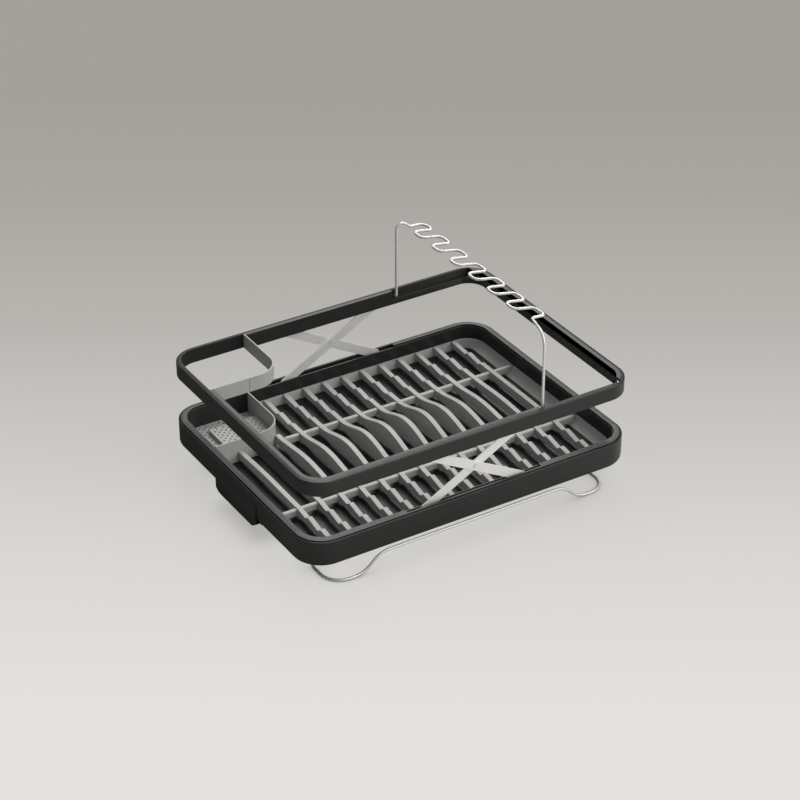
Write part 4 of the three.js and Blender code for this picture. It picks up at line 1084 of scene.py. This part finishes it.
def studio(settings):
    """Pale glowing floor with a painted contact shadow, soft light and the camera."""
    bm = bmesh.new()
    verts = bmesh.ops.create_grid(bm, x_segments=1, y_segments=1, size=FLOOR_HALF)["verts"]
    moved(bm, verts, (0.0, 0.0, -FLOOR_DROP))
    floor = as_object(bm, "floor")
    look = Finish("studio_floor")
    near, far = tuple(settings.floor_near), tuple(settings.floor_far)
    colour = look.node(
        "ShaderNodeValToRGB",
        {"stops": [(place, between(near, far, share)) for place, share in FLOOR_STOPS]},
        {"Fac": (look.along(FLOOR_AWAY) + FLOOR_START) * FLOOR_RATE},
    )
    # Painted contact shadow: the glow that the camera sees darkens towards the shaded floor colour
    # where the rack is near
    open_sky = look.node(
        "ShaderNodeAmbientOcclusion", {"samples": 12}, {"Distance": FLOOR_PAINTED_SHADOW_REACH}, "AO",
    )
    # Painted shade: lights and reflections see a dimmer copy of the floor's colours, darkest to the
    # left and behind
    unseen_painted_shade = look.mix(
        look.along(FLOOR_LEFTWARD) + BOUNCE_MIDDLE,
        scaled(near, BOUNCE_NEAR_SHARE), scaled(far, BOUNCE_FAR_SHARE),
    )
    seen = look.node("ShaderNodeLightPath", {}, {}, "Is Camera Ray")
    paint = look.node(
        "ShaderNodeBsdfDiffuse", {},
        {"Color": look.mix(seen, unseen_painted_shade, colour), "Roughness": 0.5},
    )
    glow = look.node(
        "ShaderNodeEmission", {}, {"Color": look.mix(open_sky, settings.floor_painted_shadow, colour)},
    )
    shown = look.node("ShaderNodeMixShader", {}, {0: seen * FLOOR_GLOW, 1: paint, 2: glow})
    look.tree.links.new(shown.socket, look.output.inputs["Surface"])
    floor.data.materials.append(look.material)

    world = bpy.data.worlds.new("studio")
    bpy.context.scene.world = world
    world.use_nodes = True
    sky = world.node_tree.nodes["Background"]
    sky.inputs["Color"].default_value = (1.0, 0.99, 0.97, 1.0)
    sky.inputs["Strength"].default_value = settings.sky_strength

    # Each light's name, strength, the way towards it and its width in degrees
    suns = (
        ("key", settings.key_strength, (0.75, -0.9, 0.9), 70.0),
        ("top", settings.top_strength, (0.25, 0.4, 0.88), 26.0),
        ("back", settings.back_strength, (0.44, 0.7, 0.56), 30.0),
    )
    for name, strength, source, width in suns:
        lamp = bpy.data.lights.new(name, "SUN")
        lamp.energy = strength
        lamp.angle = math.radians(width)
        lamp.color = (1.0, 0.985, 0.96)
        linked(name, lamp).rotation_euler = Vector(source).to_track_quat("Z", "Y").to_euler()

    camera = linked("camera", bpy.data.cameras.new("camera"))
    camera.location = CAMERA_PLACE
    sight = Vector(CAMERA_AIM) - camera.location
    camera.rotation_euler = sight.to_track_quat("-Z", "Y").to_euler()
    camera.data.lens = CAMERA_LENS
    camera.data.sensor_width = CAMERA_SENSOR
    bpy.context.scene.camera = camera
    bpy.context.scene.view_settings.view_transform = "Standard"


# Operators

class RackOperator:
    """What all the operators share."""

    bl_options = {"REGISTER", "UNDO"}

    def build(self, context, *makers):
        """Makes the finishes if they aren't there yet, then the pieces."""
        settings = context.scene.dish_rack
        finishes(settings)
        for make in makers:
            make(settings)
        return {"FINISHED"}


class RACK_OT_stage(RackOperator, bpy.types.Operator):
    """Makes the floor, the lights and the camera"""

    bl_idname = "rack.stage"
    bl_label = "Studio"

    def execute(self, context):
        return self.build(context, studio)


class RACK_OT_tray(RackOperator, bpy.types.Operator):
    """Makes the tray's outer shell and inner tub"""

    bl_idname = "rack.tray"
    bl_label = "Tray"

    def execute(self, context):
        return self.build(context, tray_shell, tray_tub)


class RACK_OT_spout(RackOperator, bpy.types.Operator):
    """Makes the drain spout and finishes its rails"""

    bl_idname = "rack.spout"
    bl_label = "Drain spout"

    def execute(self, context):
        return self.build(context, drain_spout, kept_nodes)


class RACK_OT_frame(RackOperator, bpy.types.Operator):
    """Makes the raised frame"""

    bl_idname = "rack.frame"
    bl_label = "Raised frame"

    def execute(self, context):
        return self.build(context, upper_frame)


class RACK_OT_mat(RackOperator, bpy.types.Operator):
    """Makes the plate mat with its fins"""

    bl_idname = "rack.mat"
    bl_label = "Plate mat"

    def execute(self, context):
        return self.build(context, plate_mat)


class RACK_OT_cutlery(RackOperator, bpy.types.Operator):
    """Makes the cutlery cup, its plate and the band above it"""

    bl_idname = "rack.cutlery"
    bl_label = "Cutlery corner"

    def execute(self, context):
        return self.build(context, cutlery_cup, drain_plate, cutlery_bands)


class RACK_OT_links(RackOperator, bpy.types.Operator):
    """Makes the crossed strips, their pins and rivets"""

    bl_idname = "rack.links"
    bl_label = "Scissor links"

    def execute(self, context):
        return self.build(context, scissor_links)


class RACK_OT_holder(RackOperator, bpy.types.Operator):
    """Makes the wire glass holder"""

    bl_idname = "rack.holder"
    bl_label = "Glass holder"

    def execute(self, context):
        return self.build(context, glass_holder)


class RACK_OT_feet(RackOperator, bpy.types.Operator):
    """Makes the foot wires"""

    bl_idname = "rack.feet"
    bl_label = "Foot wires"

    def execute(self, context):
        return self.build(context, both_feet)


OPERATORS = (
    RACK_OT_stage, RACK_OT_tray, RACK_OT_spout, RACK_OT_frame, RACK_OT_mat, RACK_OT_cutlery,
    RACK_OT_links, RACK_OT_holder, RACK_OT_feet,
)


class RACK_PT_panel(bpy.types.Panel):
    """Lists the settings and the operators"""

    bl_idname = "RACK_PT_panel"
    bl_label = "Dish Rack"
    bl_space_type = "VIEW_3D"
    bl_region_type = "UI"
    bl_category = "Dish Rack"

    def draw(self, context):
        """Draws the settings, then a button for each operator."""
        settings = context.scene.dish_rack
        for name in RackSettings.__annotations__:
            self.layout.prop(settings, name)
        for operator in OPERATORS:
            self.layout.operator(operator.bl_idname)


CLASSES = (RackSettings, *OPERATORS, RACK_PT_panel)


def register():
    """Registers the classes and the scene's settings."""
    for cls in CLASSES:
        bpy.utils.register_class(cls)
    bpy.types.Scene.dish_rack = PointerProperty(type=RackSettings)


def unregister():
    """Removes the settings and the classes."""
    del bpy.types.Scene.dish_rack
    for cls in reversed(CLASSES):
        bpy.utils.unregister_class(cls)


def main():
    """Builds the scene."""
    register()
    for operator in OPERATORS:
        getattr(bpy.ops.rack, operator.bl_idname.split(".")[1])()


if __name__ == "__main__":
    main()
